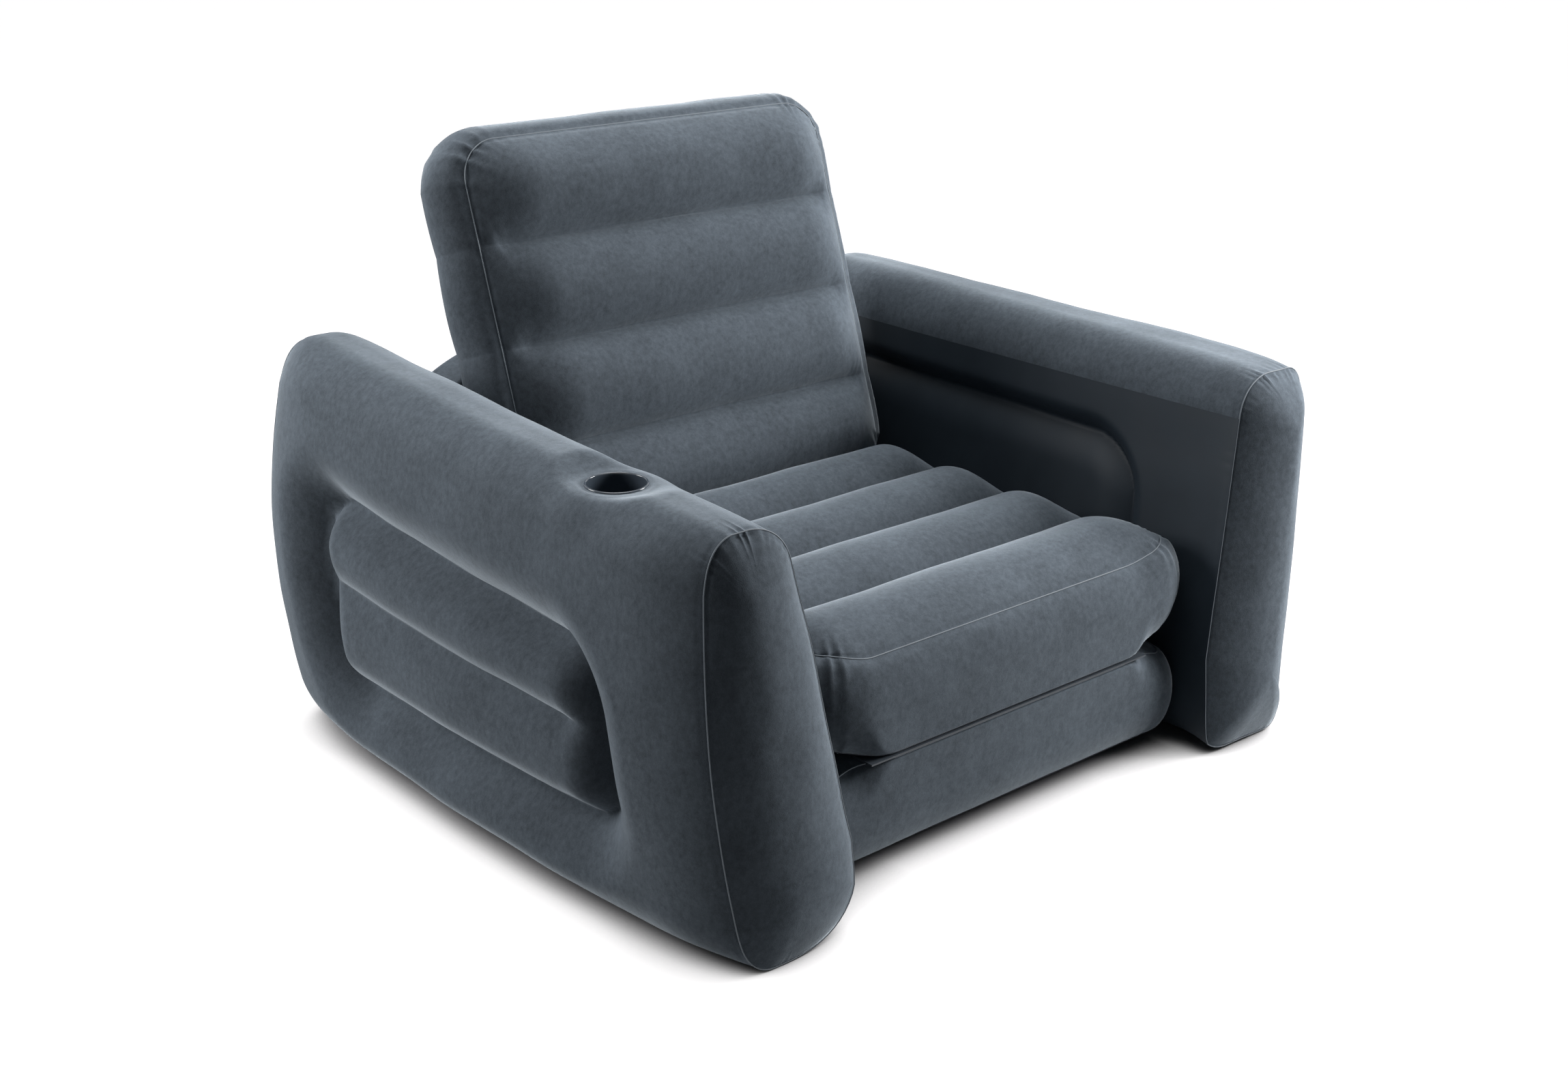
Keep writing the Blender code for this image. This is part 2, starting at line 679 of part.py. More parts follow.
def make_cup(right_arm):
    """Moulded cup with a flat flange, dropped into a stepped pocket in the arm."""
    outer = cup_bore_radius + cup_wall
    profile = [
        (0.0, cup_rim_height - cup_depth + cup_wall),
        (cup_bore_radius - cup_floor_radius, cup_rim_height - cup_depth + cup_wall),
        (cup_bore_radius, cup_rim_height - cup_depth + cup_wall + cup_floor_radius),
        (cup_bore_radius, cup_rim_height),
        (cup_flange_radius, cup_rim_height),
        (cup_flange_radius, cup_rim_height - cup_wall),
        (outer, cup_rim_height - cup_wall),
        (outer, cup_rim_height - cup_depth + cup_floor_radius),
        (outer - cup_floor_radius, cup_rim_height - cup_depth),
        (0.0, cup_rim_height - cup_depth),
    ]
    centre = (cup_centre_x, cup_centre_y, 0.0)
    cup = finished("cup_holder", turned(profile, 32), cup_vinyl)
    cup.location = centre
    crest = cup_rim_height + cup_collar_rise
    flank = cup_collar_foot_radius - cup_collar_crest_radius
    collar_profile = [(0.0, crest)]
    for step in range(5):
        turn = 0.5 * math.pi * step / 4
        radius = cup_collar_crest_radius + flank * math.sin(turn)
        collar_profile.append((radius, crest - flank * (1.0 - math.cos(turn))))
    collar_profile.append((cup_collar_foot_radius, crest - cup_collar_depth))
    collar_profile.append((0.0, crest - cup_collar_depth))
    collar = finished("cup_collar", turned(collar_profile, 32), flocked)
    collar.location = centre
    combine(right_arm, collar, "UNION")
    pocket_profile = [
        (0.0, cup_rim_height + overrun),
        (cup_flange_radius + gap, cup_rim_height + overrun),
        (cup_flange_radius + gap, cup_rim_height - cup_wall - gap),
        (outer + gap, cup_rim_height - cup_wall - gap),
        (outer + gap, cup_rim_height - cup_depth + cup_floor_radius - gap),
        (outer + gap - cup_floor_radius, cup_rim_height - cup_depth - gap),
        (0.0, cup_rim_height - cup_depth - gap),
    ]
    pocket = finished("cup_pocket", turned(pocket_profile, 32), cup_vinyl)
    pocket.location = centre
    combine(right_arm, pocket, "DIFFERENCE")


def make_valve(prefix, chamber, matrix):
    """Two-in-one valve: welded body, screwed stopper with the air neck, and a hinged cap. Z points out of it."""
    lip = valve_flange_thickness
    barrel_bore = valve_barrel_radius - valve_wall
    body_profile = [
        (valve_flange_radius, 0.0),
        (valve_flange_radius, lip),
        (barrel_bore, lip),
        (barrel_bore, -valve_barrel_depth),
        (valve_barrel_radius, -valve_barrel_depth),
        (valve_barrel_radius, 0.0),
    ]
    stopper_radius = barrel_bore - gap
    rim_base = lip + gap
    rim_top = rim_base + stopper_rim_thickness
    neck_top = rim_top + neck_height
    stopper_profile = [
        (neck_bore_radius, neck_top),
        (neck_radius, neck_top),
        (neck_radius, rim_top),
        (stopper_rim_radius, rim_top),
        (stopper_rim_radius, rim_base),
        (stopper_radius, rim_base),
        (stopper_radius, -valve_barrel_depth + valve_wall),
        (neck_bore_radius, -valve_barrel_depth + valve_wall),
    ]
    cap_base = neck_top + gap
    plug_radius = neck_bore_radius - gap
    cap_profile = [
        (0.0, cap_base + cap_thickness),
        (cap_radius, cap_base + cap_thickness),
        (cap_radius, cap_base),
        (plug_radius, cap_base),
        (plug_radius, cap_base - cap_plug_depth),
        (0.0, cap_base - cap_plug_depth),
    ]
    pocket_profile = [
        (0.0, overrun),
        (valve_flange_radius + gap, overrun),
        (valve_flange_radius + gap, -gap),
        (valve_barrel_radius + gap, -gap),
        (valve_barrel_radius + gap, -valve_barrel_depth - gap),
        (0.0, -valve_barrel_depth - gap),
    ]
    body = finished(prefix + "_valve_body", turned(body_profile, 20), valve_plastic)
    stopper = finished(prefix + "_valve_stopper", turned(stopper_profile, 20), valve_plastic)
    cap = finished(prefix + "_valve_cap", turned(cap_profile, 20), cap_plastic)
    tab_size = (cap_tab_length + cap_radius * 0.5, cap_tab_width, cap_thickness * 0.6)
    tab_centre = (cap_radius * 0.75 + 0.5 * cap_tab_length, 0.0, cap_base + 0.5 * cap_thickness)
    tab = finished(prefix + "_cap_tab", boxes_builder([(tab_size, tab_centre)]), cap_plastic)
    combine(cap, tab, "UNION")
    pocket = finished(prefix + "_valve_pocket", turned(pocket_profile, 20), valve_plastic)
    for piece in (body, stopper, cap, tab, pocket):
        piece.matrix_world = matrix
    hinge = (cap_radius + cap_tab_length, 0.0, cap_base)
    for piece in (cap, tab):
        piece.data.transform(Matrix.Translation(-Vector(hinge)))
        piece.matrix_world = matrix @ Matrix.Translation(hinge)
    combine(chamber, pocket, "DIFFERENCE")


def valve_places():
    """Matrices of the frame's valve, low on the rear wall, and of the mattress's, on the backrest's left side."""
    wall_face = wall_rear_foot - wall_rear_setback * frame_valve_height / wall_height
    tilt = math.atan2(wall_rear_setback, wall_height)
    rear = Matrix.Translation((frame_valve_x, wall_face - frame_valve_sink, frame_valve_height))
    rear = rear @ Matrix.Rotation(-math.pi / 2 + tilt, 4, "X")
    side_face = section_half_width + section_side_bulge - mattress_valve_sink
    side = Matrix.Translation((side_face, mattress_valve_along, -0.5 * backrest_gusset))
    side = backrest_matrix() @ side @ Matrix.Rotation(math.pi / 2, 4, "Y")
    return rear, side


base = make_base()
seat = make_seat()
backrest = make_backrest()
right_arm = make_arm(-1, "right_arm")
left_arm = make_arm(1, "left_arm")
make_inner_sheet(-1, "right_arm_inner_sheet")
make_inner_sheet(1, "left_arm_inner_sheet")
rear_wall = make_rear_wall()
make_front_flanges()
make_rear_flanges()
make_cup(right_arm)
frame_valve_place, mattress_valve_place = valve_places()
make_valve("frame", rear_wall, frame_valve_place)
make_valve("mattress", backrest, mattress_valve_place)
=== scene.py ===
"""Inflatable chair bed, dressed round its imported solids: flocked air chambers, smooth vinyl sheets, cup and valves."""

import math

import bmesh
import bpy
import numpy as np
from mathutils import Matrix, Vector


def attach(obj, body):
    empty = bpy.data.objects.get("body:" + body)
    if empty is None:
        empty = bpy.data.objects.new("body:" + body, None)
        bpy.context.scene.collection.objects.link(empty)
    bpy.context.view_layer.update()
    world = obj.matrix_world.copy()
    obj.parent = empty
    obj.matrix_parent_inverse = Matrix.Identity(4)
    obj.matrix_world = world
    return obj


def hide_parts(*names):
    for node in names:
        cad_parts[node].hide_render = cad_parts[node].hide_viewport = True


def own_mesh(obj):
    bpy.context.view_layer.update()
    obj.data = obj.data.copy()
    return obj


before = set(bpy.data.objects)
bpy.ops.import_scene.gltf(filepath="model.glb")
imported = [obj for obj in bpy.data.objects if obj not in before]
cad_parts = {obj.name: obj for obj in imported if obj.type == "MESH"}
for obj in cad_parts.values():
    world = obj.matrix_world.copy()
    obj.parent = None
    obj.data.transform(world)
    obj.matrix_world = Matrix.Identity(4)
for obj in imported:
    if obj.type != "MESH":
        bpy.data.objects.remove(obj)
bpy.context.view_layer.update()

# Camera. It stands in front of the chair on the sitter's right, a little above the backrest, and looks down
# at the front of the seat. Its place and lens are the ones at which the solids' outlines meet the photograph's.
photo_width = 2298
focal_pixels = 2924.16
camera_place = Vector((-1.7923, -2.0427, 1.2939))
camera_yaw, camera_pitch, camera_roll = 0.7146, 0.3611, 0.0057
lens_data = bpy.data.cameras.new("camera")
lens_data.sensor_fit = "HORIZONTAL"
lens_data.sensor_width = 36.0
lens_data.lens = focal_pixels * lens_data.sensor_width / photo_width
camera = bpy.data.objects.new("camera", lens_data)
bpy.context.scene.collection.objects.link(camera)
level_aim = Vector((math.sin(camera_yaw), math.cos(camera_yaw), 0.0))
aim = level_aim * math.cos(camera_pitch) - Vector((0.0, 0.0, math.sin(camera_pitch)))
level_right = Vector((math.cos(camera_yaw), -math.sin(camera_yaw), 0.0))
level_up = level_right.cross(aim)
right = math.cos(camera_roll) * level_right + math.sin(camera_roll) * level_up
up = math.cos(camera_roll) * level_up - math.sin(camera_roll) * level_right
camera.matrix_world = Matrix.Translation(camera_place) @ Matrix((right, up, -aim)).transposed().to_4x4()
bpy.context.scene.camera = camera

# Floor and light. A plain pale floor runs past the view, so that only the chair's shadow marks it. Three soft disk
# lamps stand overhead, in front on the sitter's left and behind on the sitter's right, in a dim, slightly blue room.
# Camera, glossy and transmission rays see floor and room white, but the floor's glow fades near the chair: painted
# shade.


def sees_white(tree):
    """1 for the camera, glossy and transmission rays that see the white background, 0 for rays that light the chair."""
    path = tree.nodes.new("ShaderNodeLightPath")
    seen = path.outputs["Is Camera Ray"]
    for kind in ("Is Glossy Ray", "Is Transmission Ray"):
        either = tree.nodes.new("ShaderNodeMath")
        either.operation = "MAXIMUM"
        tree.links.new(seen, either.inputs[0])
        tree.links.new(path.outputs[kind], either.inputs[1])
        seen = either.outputs[0]
    return seen


floor_size, floor_drop = 60.0, 0.0008
shadow_reach = 0.17
floor_bounce, floor_shade = (0.36, 0.36, 0.36, 1.0), (0.24, 0.235, 0.24, 1.0)
floor_grid = bmesh.new()
bmesh.ops.create_grid(floor_grid, x_segments=1, y_segments=1, size=floor_size / 2)
bmesh.ops.translate(floor_grid, verts=floor_grid.verts, vec=(0.0, 0.0, -floor_drop))
floor_mesh = bpy.data.meshes.new("floor")
floor_grid.to_mesh(floor_mesh)
floor_grid.free()
floor = bpy.data.objects.new("floor", floor_mesh)
bpy.context.scene.collection.objects.link(floor)

floor_paint = bpy.data.materials.new("floor_paint")
floor_paint.use_nodes = True
nodes, links = floor_paint.node_tree.nodes, floor_paint.node_tree.links
floor_shader = nodes["Principled BSDF"]
floor_shader.inputs["Roughness"].default_value = 0.9
floor_shader.inputs["Specular IOR Level"].default_value = 0.0
seen = sees_white(floor_paint.node_tree)
# Painted shadow: the floor's white glow is scaled by ambient occlusion, so it fades to the dark floor colour close
# round the chair, over the lamps' real shadow.
openness = nodes.new("ShaderNodeAmbientOcclusion")
openness.samples = 24
openness.inputs["Distance"].default_value = shadow_reach
far = nodes.new("ShaderNodeMapRange")
far.interpolation_type = "SMOOTHSTEP"
far.inputs["From Min"].default_value = 0.15
far.inputs["From Max"].default_value = 0.70
links.new(openness.outputs["AO"], far.inputs["Value"])
lift = nodes.new("ShaderNodeMath")
lift.operation = "MULTIPLY"
links.new(seen, lift.inputs[0])
links.new(far.outputs["Result"], lift.inputs[1])
links.new(lift.outputs[0], floor_shader.inputs["Emission Strength"])
floor_shader.inputs["Emission Color"].default_value = (1.0, 0.99, 0.99, 1.0)
floor_tone = nodes.new("ShaderNodeMix")
floor_tone.data_type = "RGBA"
floor_tone.inputs[6].default_value = floor_bounce
floor_tone.inputs[7].default_value = floor_shade
links.new(seen, floor_tone.inputs["Factor"])
links.new(floor_tone.outputs[2], floor_shader.inputs["Base Color"])
floor_mesh.materials.append(floor_paint)

room = bpy.data.worlds.new("room")
bpy.context.scene.world = room
room.use_nodes = True
nodes, links = room.node_tree.nodes, room.node_tree.links
nodes.clear()
seen = sees_white(room.node_tree)
room_light = nodes.new("ShaderNodeBackground")
room_light.inputs["Color"].default_value = (0.72, 0.86, 1.0, 1.0)
room_light.inputs["Strength"].default_value = 0.05
white_back = nodes.new("ShaderNodeBackground")
white_back.inputs["Color"].default_value = (1.0, 1.0, 1.0, 1.0)
choice = nodes.new("ShaderNodeMixShader")
links.new(seen, choice.inputs["Fac"])
links.new(room_light.outputs[0], choice.inputs[1])
links.new(white_back.outputs[0], choice.inputs[2])
links.new(choice.outputs[0], nodes.new("ShaderNodeOutputWorld").inputs["Surface"])

lamp_aim = Vector((0.0, 0.0, 0.30))
for lamp_name, direction, reach, size, power in (
    ("top_lamp", (0.06, 0.14, 1.0), 3.0, 2.0, 68.0),
    ("front_right_lamp", (0.86, -0.60, 0.50), 2.3, 1.1, 82.0),
    ("rear_left_lamp", (-0.78, 0.60, 0.46), 3.4, 1.6, 88.0),
):
    lamp_data = bpy.data.lights.new(lamp_name, "AREA")
    lamp_data.shape = "DISK"
    lamp_data.size = size
    lamp_data.energy = power
    lamp = bpy.data.objects.new(lamp_name, lamp_data)
    bpy.context.scene.collection.objects.link(lamp)
    lamp.location = lamp_aim + reach * Vector(direction).normalized()
    lamp.rotation_euler = (lamp_aim - lamp.location).to_track_quat("-Z", "Y").to_euler()
bpy.context.scene.view_settings.view_transform = "Standard"

# Base section. The bottom third of the folded mattress: an air chamber of flocked vinyl with five tubes, welded
# from a top panel, an underside and a gusset band. It stays on the floor, squeezed between the two arms, and a raised
# weld bead runs round its top and its foot.


def flock_pile():
    """Short brushed pile: its lightness drifts in soft patches, with a fine speckle in colour and height."""
    group = bpy.data.node_groups.new("flock_pile", "ShaderNodeTree")
    sockets = group.interface
    sockets.new_socket("Tint", in_out="INPUT", socket_type="NodeSocketColor")
    sockets.new_socket("Patchiness", in_out="INPUT", socket_type="NodeSocketFloat")
    sockets.new_socket("Speckle", in_out="INPUT", socket_type="NodeSocketFloat")
    sockets.new_socket("Colour", in_out="OUTPUT", socket_type="NodeSocketColor")
    sockets.new_socket("Normal", in_out="OUTPUT", socket_type="NodeSocketVector")
    nodes, links = group.nodes, group.links
    entry = nodes.new("NodeGroupInput")
    leave = nodes.new("NodeGroupOutput")
    place = nodes.new("ShaderNodeTexCoord")
    stroke = nodes.new("ShaderNodeMapping")
    stroke.inputs["Scale"].default_value = (1.0, 1.0, 0.8)
    links.new(place.outputs["Object"], stroke.inputs["Vector"])

    def noise(scale, detail, roughness, source):
        made = nodes.new("ShaderNodeTexNoise")
        made.inputs["Scale"].default_value = scale
        made.inputs["Detail"].default_value = detail
        made.inputs["Roughness"].default_value = roughness
        links.new(source, made.inputs["Vector"])
        return made.outputs["Fac"]

    def maths(operation, first, second, third=None):
        made = nodes.new("ShaderNodeMath")
        made.operation = operation
        for socket, value in zip(made.inputs, (first, second, third)):
            if value is None:
                continue
            if isinstance(value, (int, float)):
                socket.default_value = value
            else:
                links.new(value, socket)
        return made.outputs[0]

    broad = noise(13.0, 3.0, 0.55, place.outputs["Object"])
    brushed = noise(120.0, 6.0, 0.74, stroke.outputs["Vector"])
    fine = noise(900.0, 2.0, 0.6, place.outputs["Object"])
    drift = maths("ADD", maths("MULTIPLY", broad, 0.5), maths("MULTIPLY", brushed, 1.3))
    drift = maths("MULTIPLY", maths("SUBTRACT", drift, 0.9), entry.outputs["Patchiness"])
    grain = maths("MULTIPLY", maths("SUBTRACT", fine, 0.5), entry.outputs["Speckle"])
    level = maths("MAXIMUM", maths("ADD", maths("ADD", drift, grain), 1.0), 0.1)
    shade = nodes.new("ShaderNodeVectorMath")
    shade.operation = "SCALE"
    links.new(entry.outputs["Tint"], shade.inputs[0])
    links.new(level, shade.inputs["Scale"])
    links.new(shade.outputs[0], leave.inputs["Colour"])
    height = maths("ADD", maths("MULTIPLY", fine, 0.5), maths("MULTIPLY", brushed, 0.6))
    relief = nodes.new("ShaderNodeBump")
    relief.inputs["Strength"].default_value = 0.35
    relief.inputs["Distance"].default_value = 0.0012
    links.new(height, relief.inputs["Height"])
    links.new(relief.outputs["Normal"], leave.inputs["Normal"])
    return group


flock_group = flock_pile()


def flocked_cloth(name, tint, patchiness, sheen):
    """Velvet-like flock with its shader's sheen and a painted sheen: dark seen straight on, lighter along every turning
    edge.
    """
    made = bpy.data.materials.new(name)
    made.use_nodes = True
    nodes, links = made.node_tree.nodes, made.node_tree.links
    shader = nodes["Principled BSDF"]
    pile = nodes.new("ShaderNodeGroup")
    pile.node_tree = flock_group
    pile.inputs["Tint"].default_value = (*tint, 1.0)
    pile.inputs["Patchiness"].default_value = patchiness
    pile.inputs["Speckle"].default_value = 0.55
    # Painted sheen: Layer Weight's Facing scales the pile colour up where the surface turns away from the view.
    slant = nodes.new("ShaderNodeLayerWeight")
    slant.inputs["Blend"].default_value = 0.5
    edge = nodes.new("ShaderNodeMath")
    edge.operation = "MULTIPLY_ADD"
    edge.inputs[1].default_value, edge.inputs[2].default_value = 0.78, 0.71
    links.new(slant.outputs["Facing"], edge.inputs[0])
    painted_sheen_colour = nodes.new("ShaderNodeVectorMath")
    painted_sheen_colour.operation = "SCALE"
    links.new(pile.outputs["Colour"], painted_sheen_colour.inputs[0])
    links.new(edge.outputs[0], painted_sheen_colour.inputs["Scale"])
    links.new(painted_sheen_colour.outputs[0], shader.inputs["Base Color"])
    links.new(pile.outputs["Normal"], shader.inputs["Normal"])
    shader.inputs["Roughness"].default_value = 0.95
    shader.inputs["Specular IOR Level"].default_value = 0.12
    shader.inputs["Sheen Weight"].default_value = sheen
    shader.inputs["Sheen Roughness"].default_value = 0.32
    shader.inputs["Sheen Tint"].default_value = (0.84, 0.93, 1.0, 1.0)
    return made


slate_flock = flocked_cloth("slate_flock", (0.077, 0.092, 0.109), 1.0, 0.54)


def vinyl_film(name, tint, roughness, ripple, gleam=0.5):
    """Smooth vinyl sheet with a soft unevenness in its gloss and height."""
    made = bpy.data.materials.new(name)
    made.use_nodes = True
    nodes, links = made.node_tree.nodes, made.node_tree.links
    shader = nodes["Principled BSDF"]
    shader.inputs["Specular IOR Level"].default_value = gleam
    place = nodes.new("ShaderNodeTexCoord")
    wave = nodes.new("ShaderNodeTexNoise")
    wave.inputs["Scale"].default_value = 26.0
    wave.inputs["Detail"].default_value = 3.0
    links.new(place.outputs["Object"], wave.inputs["Vector"])
    relief = nodes.new("ShaderNodeBump")
    relief.inputs["Strength"].default_value = ripple
    relief.inputs["Distance"].default_value = 0.002
    links.new(wave.outputs["Fac"], relief.inputs["Height"])
    links.new(relief.outputs["Normal"], shader.inputs["Normal"])
    gloss = nodes.new("ShaderNodeMapRange")
    gloss.inputs["To Min"].default_value = roughness - 0.07
    gloss.inputs["To Max"].default_value = roughness + 0.07
    links.new(wave.outputs["Fac"], gloss.inputs["Value"])
    links.new(gloss.outputs["Result"], shader.inputs["Roughness"])
    colour = nodes.new("ShaderNodeMix")
    colour.data_type = "RGBA"
    colour.inputs[6].default_value = (*(0.85 * c for c in tint), 1.0)
    colour.inputs[7].default_value = (*(1.15 * c for c in tint), 1.0)
    links.new(wave.outputs["Fac"], colour.inputs["Factor"])
    links.new(colour.outputs[2], shader.inputs["Base Color"])
    return made


dark_vinyl = vinyl_film("dark_vinyl", (0.012, 0.018, 0.025), 0.55, 0.08, 0.26)


def brick(across, along, deep):
    """A unit cube cut into even rows along each axis: the start of every mattress section."""
    shell = bmesh.new()
    bmesh.ops.create_cube(shell, size=1.0)
    for axis, rows in enumerate((across, along, deep)):
        whole = [e for e in shell.edges if abs(e.verts[0].co[axis] - e.verts[1].co[axis]) > 0.9]
        bmesh.ops.subdivide_edges(shell, edges=whole, cuts=rows - 1, use_grid_fill=True)
    return shell


def finished(name, shell, finish):
    """A bmesh as a smooth-shaded piece at the origin."""
    bmesh.ops.recalc_face_normals(shell, faces=shell.faces[:])
    mesh = bpy.data.meshes.new(name)
    shell.to_mesh(mesh)
    shell.free()
    mesh.shade_smooth()
    mesh.materials.append(finish)
    piece = bpy.data.objects.new(name, mesh)
    bpy.context.scene.collection.objects.link(piece)
    return piece


def eased(value):
    value = np.clip(value, 0.0, 1.0)
    return value * value * (3.0 - 2.0 * value)


def swollen(share):
    """Cross-section of a film held at its rim: 0 at the rim, 1 on the crest."""
    return np.sin(0.5 * math.pi * np.clip(share, 0.0, 1.0)) ** 0.85


def gathers(place, pitch, seed):
    """Uneven pleats along a seam, from -1 to 1, with sharp valleys and round crests."""
    draw = np.random.default_rng(seed)
    phase = draw.uniform(0.0, 2 * math.pi, 4)
    turn = 2 * math.pi * place / pitch
    wander = turn + 1.4 * np.sin(turn / 3.7 + phase[0]) + 0.8 * np.sin(turn / 2.3 + phase[1])
    strength = 0.62 + 0.38 * np.sin(turn / 5.1 + phase[2])
    return strength * (1.0 - 2.0 * np.abs(np.sin(0.5 * wander + phase[3])) ** 0.7)


def unevenness(points, seed):
    """Slow swell of a hand-welded film, from about -1 to 1, as a function of place."""
    draw = np.random.default_rng(seed)
    total = np.zeros(len(points))
    for wavelength, weight in ((0.34, 0.5), (0.21, 0.5), (0.13, 0.3), (0.075, 0.16)):
        for _ in range(3):
            heading = draw.normal(size=3)
            heading /= np.linalg.norm(heading)
            phase = draw.uniform(0.0, 2 * math.pi)
            total += weight * np.sin(points @ heading * (2 * math.pi / wavelength) + phase) / 1.7
    return total


def pressed(points, anchor, normal, give=0.004):
    """Points beyond a contact plane are laid on it, with a soft turn into it."""
    normal = np.asarray(normal, float) / np.linalg.norm(normal)
    beyond = (points - np.asarray(anchor)) @ normal
    kept = -np.logaddexp(0.0, -beyond / give) * give
    return points + (kept - beyond)[:, None] * normal


def mattress_pad(sizes, rows, seed):
    """One channelled section, its front top seam along X at the origin and its top up, with its points and places."""
    shell = brick(*rows)
    unit = np.array([vert.co for vert in shell.verts])
    a, b, c = unit.T
    half, length, radius = sizes["half_width"], sizes["channels"] * sizes["pitch"], sizes["corner"]
    x = half * (a + 0.5 * np.sin(math.pi * a))
    tube = np.minimum(np.floor((b + 0.5) * sizes["channels"] + 1e-6), sizes["channels"] - 1)
    share = (b + 0.5) * sizes["channels"] - tube
    share = 0.4 * share + 0.6 * (0.5 - 0.5 * np.cos(math.pi * share))
    y = (tube + share) * sizes["pitch"]
    drop = 0.5 - c
    drop = drop - 0.55 / (2 * math.pi) * np.sin(2 * math.pi * drop)
    on_top, on_foot = c > 0.4999, c < -0.4999
    on_side = ~(on_top | on_foot)

    from_side = half - np.abs(x)
    from_end = np.minimum(y, length - y)
    crest = np.clip(np.sin(math.pi * share), 0.0, 1.0)
    tube_face = math.radians(sizes["tube_face"])
    arc = np.sqrt(1.0 - ((2.0 * share - 1.0) * math.sin(tube_face)) ** 2) - math.cos(tube_face)
    arc = sizes["web_lift"] + (1.0 - sizes["web_lift"]) * arc / (1.0 - math.cos(tube_face))
    outer_half = ((tube == 0) & (share < 0.5)) | ((tube == sizes["channels"] - 1) & (share > 0.5))
    arc = np.where(outer_half, swollen(from_end / (0.5 * sizes["pitch"])), arc)
    groove = eased(from_side / sizes["groove_fade"])
    ridge = 0.55 * swollen(from_end / sizes["roll"]) + 0.45 * arc
    rise = swollen(from_side / sizes["roll"]) * (groove * arc + (1.0 - groove) * ridge)

    radius = np.where(x < 0, radius, sizes["right_corner"])
    inner_x, inner_y = half - radius, length / 2 - radius
    from_middle = y - length / 2
    u = np.clip((np.abs(x) - inner_x) / radius, 0.0, 1.0)
    v = np.clip((np.abs(from_middle) - inner_y) / radius, 0.0, 1.0)
    corner = (u > 0) & (v > 0)
    plan_x = np.sign(x) * np.where(corner, inner_x + radius * u * np.sqrt(1 - v * v / 2), np.abs(x))
    round_y = inner_y + radius * v * np.sqrt(1 - u * u / 2)
    plan_y = np.sign(from_middle) * np.where(corner, round_y, np.abs(from_middle))
    out = np.stack([plan_x - np.clip(plan_x, -inner_x, inner_x), plan_y - np.clip(plan_y, -inner_y, inner_y)], 1)
    out /= np.maximum(np.linalg.norm(out, axis=1), 1e-9)[:, None]

    end_bulge = np.where(out[:, 1] < 0, sizes["front_bulge"], sizes["rear_bulge"])
    bulge = sizes["side_bulge"] * out[:, 0] ** 2 + end_bulge * out[:, 1] ** 2
    waist = np.clip(4.0 * drop * (1.0 - drop), 0.0, 1.0)
    swell = bulge * waist**0.6 + sizes["tube_bump"] * (crest**0.8 - 0.6) * out[:, 0] ** 2 * waist**0.5
    front_share = eased(1.0 - y / sizes["rise_length"])
    at_corner = eased((np.abs(x) - hinge_half) / (half - hinge_half)) * eased(1.0 - y / 0.16)
    seam_lift = sizes["front_rise"] * front_share + sizes["top_corner"] * at_corner
    foot_lift = sizes["foot_corner"] * at_corner
    from_hinge = np.where(on_side, np.abs(sizes["hinge_level"] - drop) * sizes["gusset"], y)
    at_hinge = ~on_side & (np.abs(drop - sizes["hinge_level"]) < 0.01) | on_side & (out[:, 1] < 0)
    reach = sizes["hinge_reach"] * np.exp(-((from_hinge / 0.034) ** 2)) * at_hinge
    reach *= eased((0.285 - np.abs(x)) / 0.070) * np.where(on_side, out[:, 1] ** 2, 1.0)
    points = np.stack([plan_x, plan_y + length / 2 - reach, -sizes["gusset"] * drop], 1)
    points[:, :2] += out * np.where(on_side, swell, 0.0)[:, None]
    crown = sizes["crown"] + sizes["rear_rise"] * eased(y / sizes["rise_length"]) - sizes["front_rise"] * front_share
    points[:, 2] += np.where(on_top, crown * rise, 0.0)
    points[:, 2] -= np.where(on_foot, sizes["under_crown"] * rise, 0.0)
    points[:, 2] += (1.0 - drop) * seam_lift + drop * foot_lift * (1.0 - on_foot * eased(from_end / 0.12))

    settle(shell, points)
    bmesh.ops.recalc_face_normals(shell, faces=shell.faces[:])
    shell.normal_update()
    normals = np.array([vert.normal for vert in shell.verts])

    reach_x = np.abs(plan_x) - (half - sizes["pleat_radius"])
    reach_y = np.abs(plan_y) - (length / 2 - sizes["pleat_radius"])
    angle = np.arctan2(np.maximum(reach_y, 0.0), np.maximum(reach_x, 1e-6))
    fan = eased(np.sin(2 * angle) * 1.25) * ((reach_x > 0) & (reach_y > 0))
    panel_gap = np.minimum(from_side, from_end)
    top_gap = np.where(on_side, drop * sizes["gusset"], np.where(on_top, panel_gap, 1.0))
    foot_gap = np.where(on_side, (1.0 - drop) * sizes["gusset"], np.where(on_foot, panel_gap, 1.0))
    seam_gap = np.minimum(top_gap, foot_gap)
    round_rim = angle * sizes["pleat_radius"] + 0.31 * np.sign(plan_x) + 0.17 * np.sign(plan_y)
    near_corner = fan * np.exp(-seam_gap / 0.020) * eased(seam_gap / 0.003 + 0.2)
    rim_crinkle = np.exp(-seam_gap / 0.009) * eased(seam_gap / 0.003)
    running = plan_x + plan_y * 1.37 + np.where(on_side, 0.23, 0.0)
    groove_end = np.exp(-((from_side - 0.02) / 0.022) ** 2) * np.abs(np.cos(math.pi * share)) ** 6
    groove_end *= on_top * (from_end > 0.04)
    push = sizes["pleat"] * near_corner * gathers(round_rim, 0.019, seed)
    push += 0.0004 * rim_crinkle * gathers(running, 0.031, seed + 1)
    push += 0.0010 * groove_end * gathers(from_side + 0.35 * y, 0.015, seed + 2)
    push -= 0.0011 * np.exp(-((seam_gap - 0.0018) / 0.0022) ** 2) * (seam_gap > 0.0004)
    push += 0.0011 * unevenness(points, seed + 3) * eased(panel_gap / 0.05 + on_side)
    points += normals * push[:, None]
    return shell, points, unit


def settle(shell, points):
    for vert, point in zip(shell.verts, points):
        vert.co = point


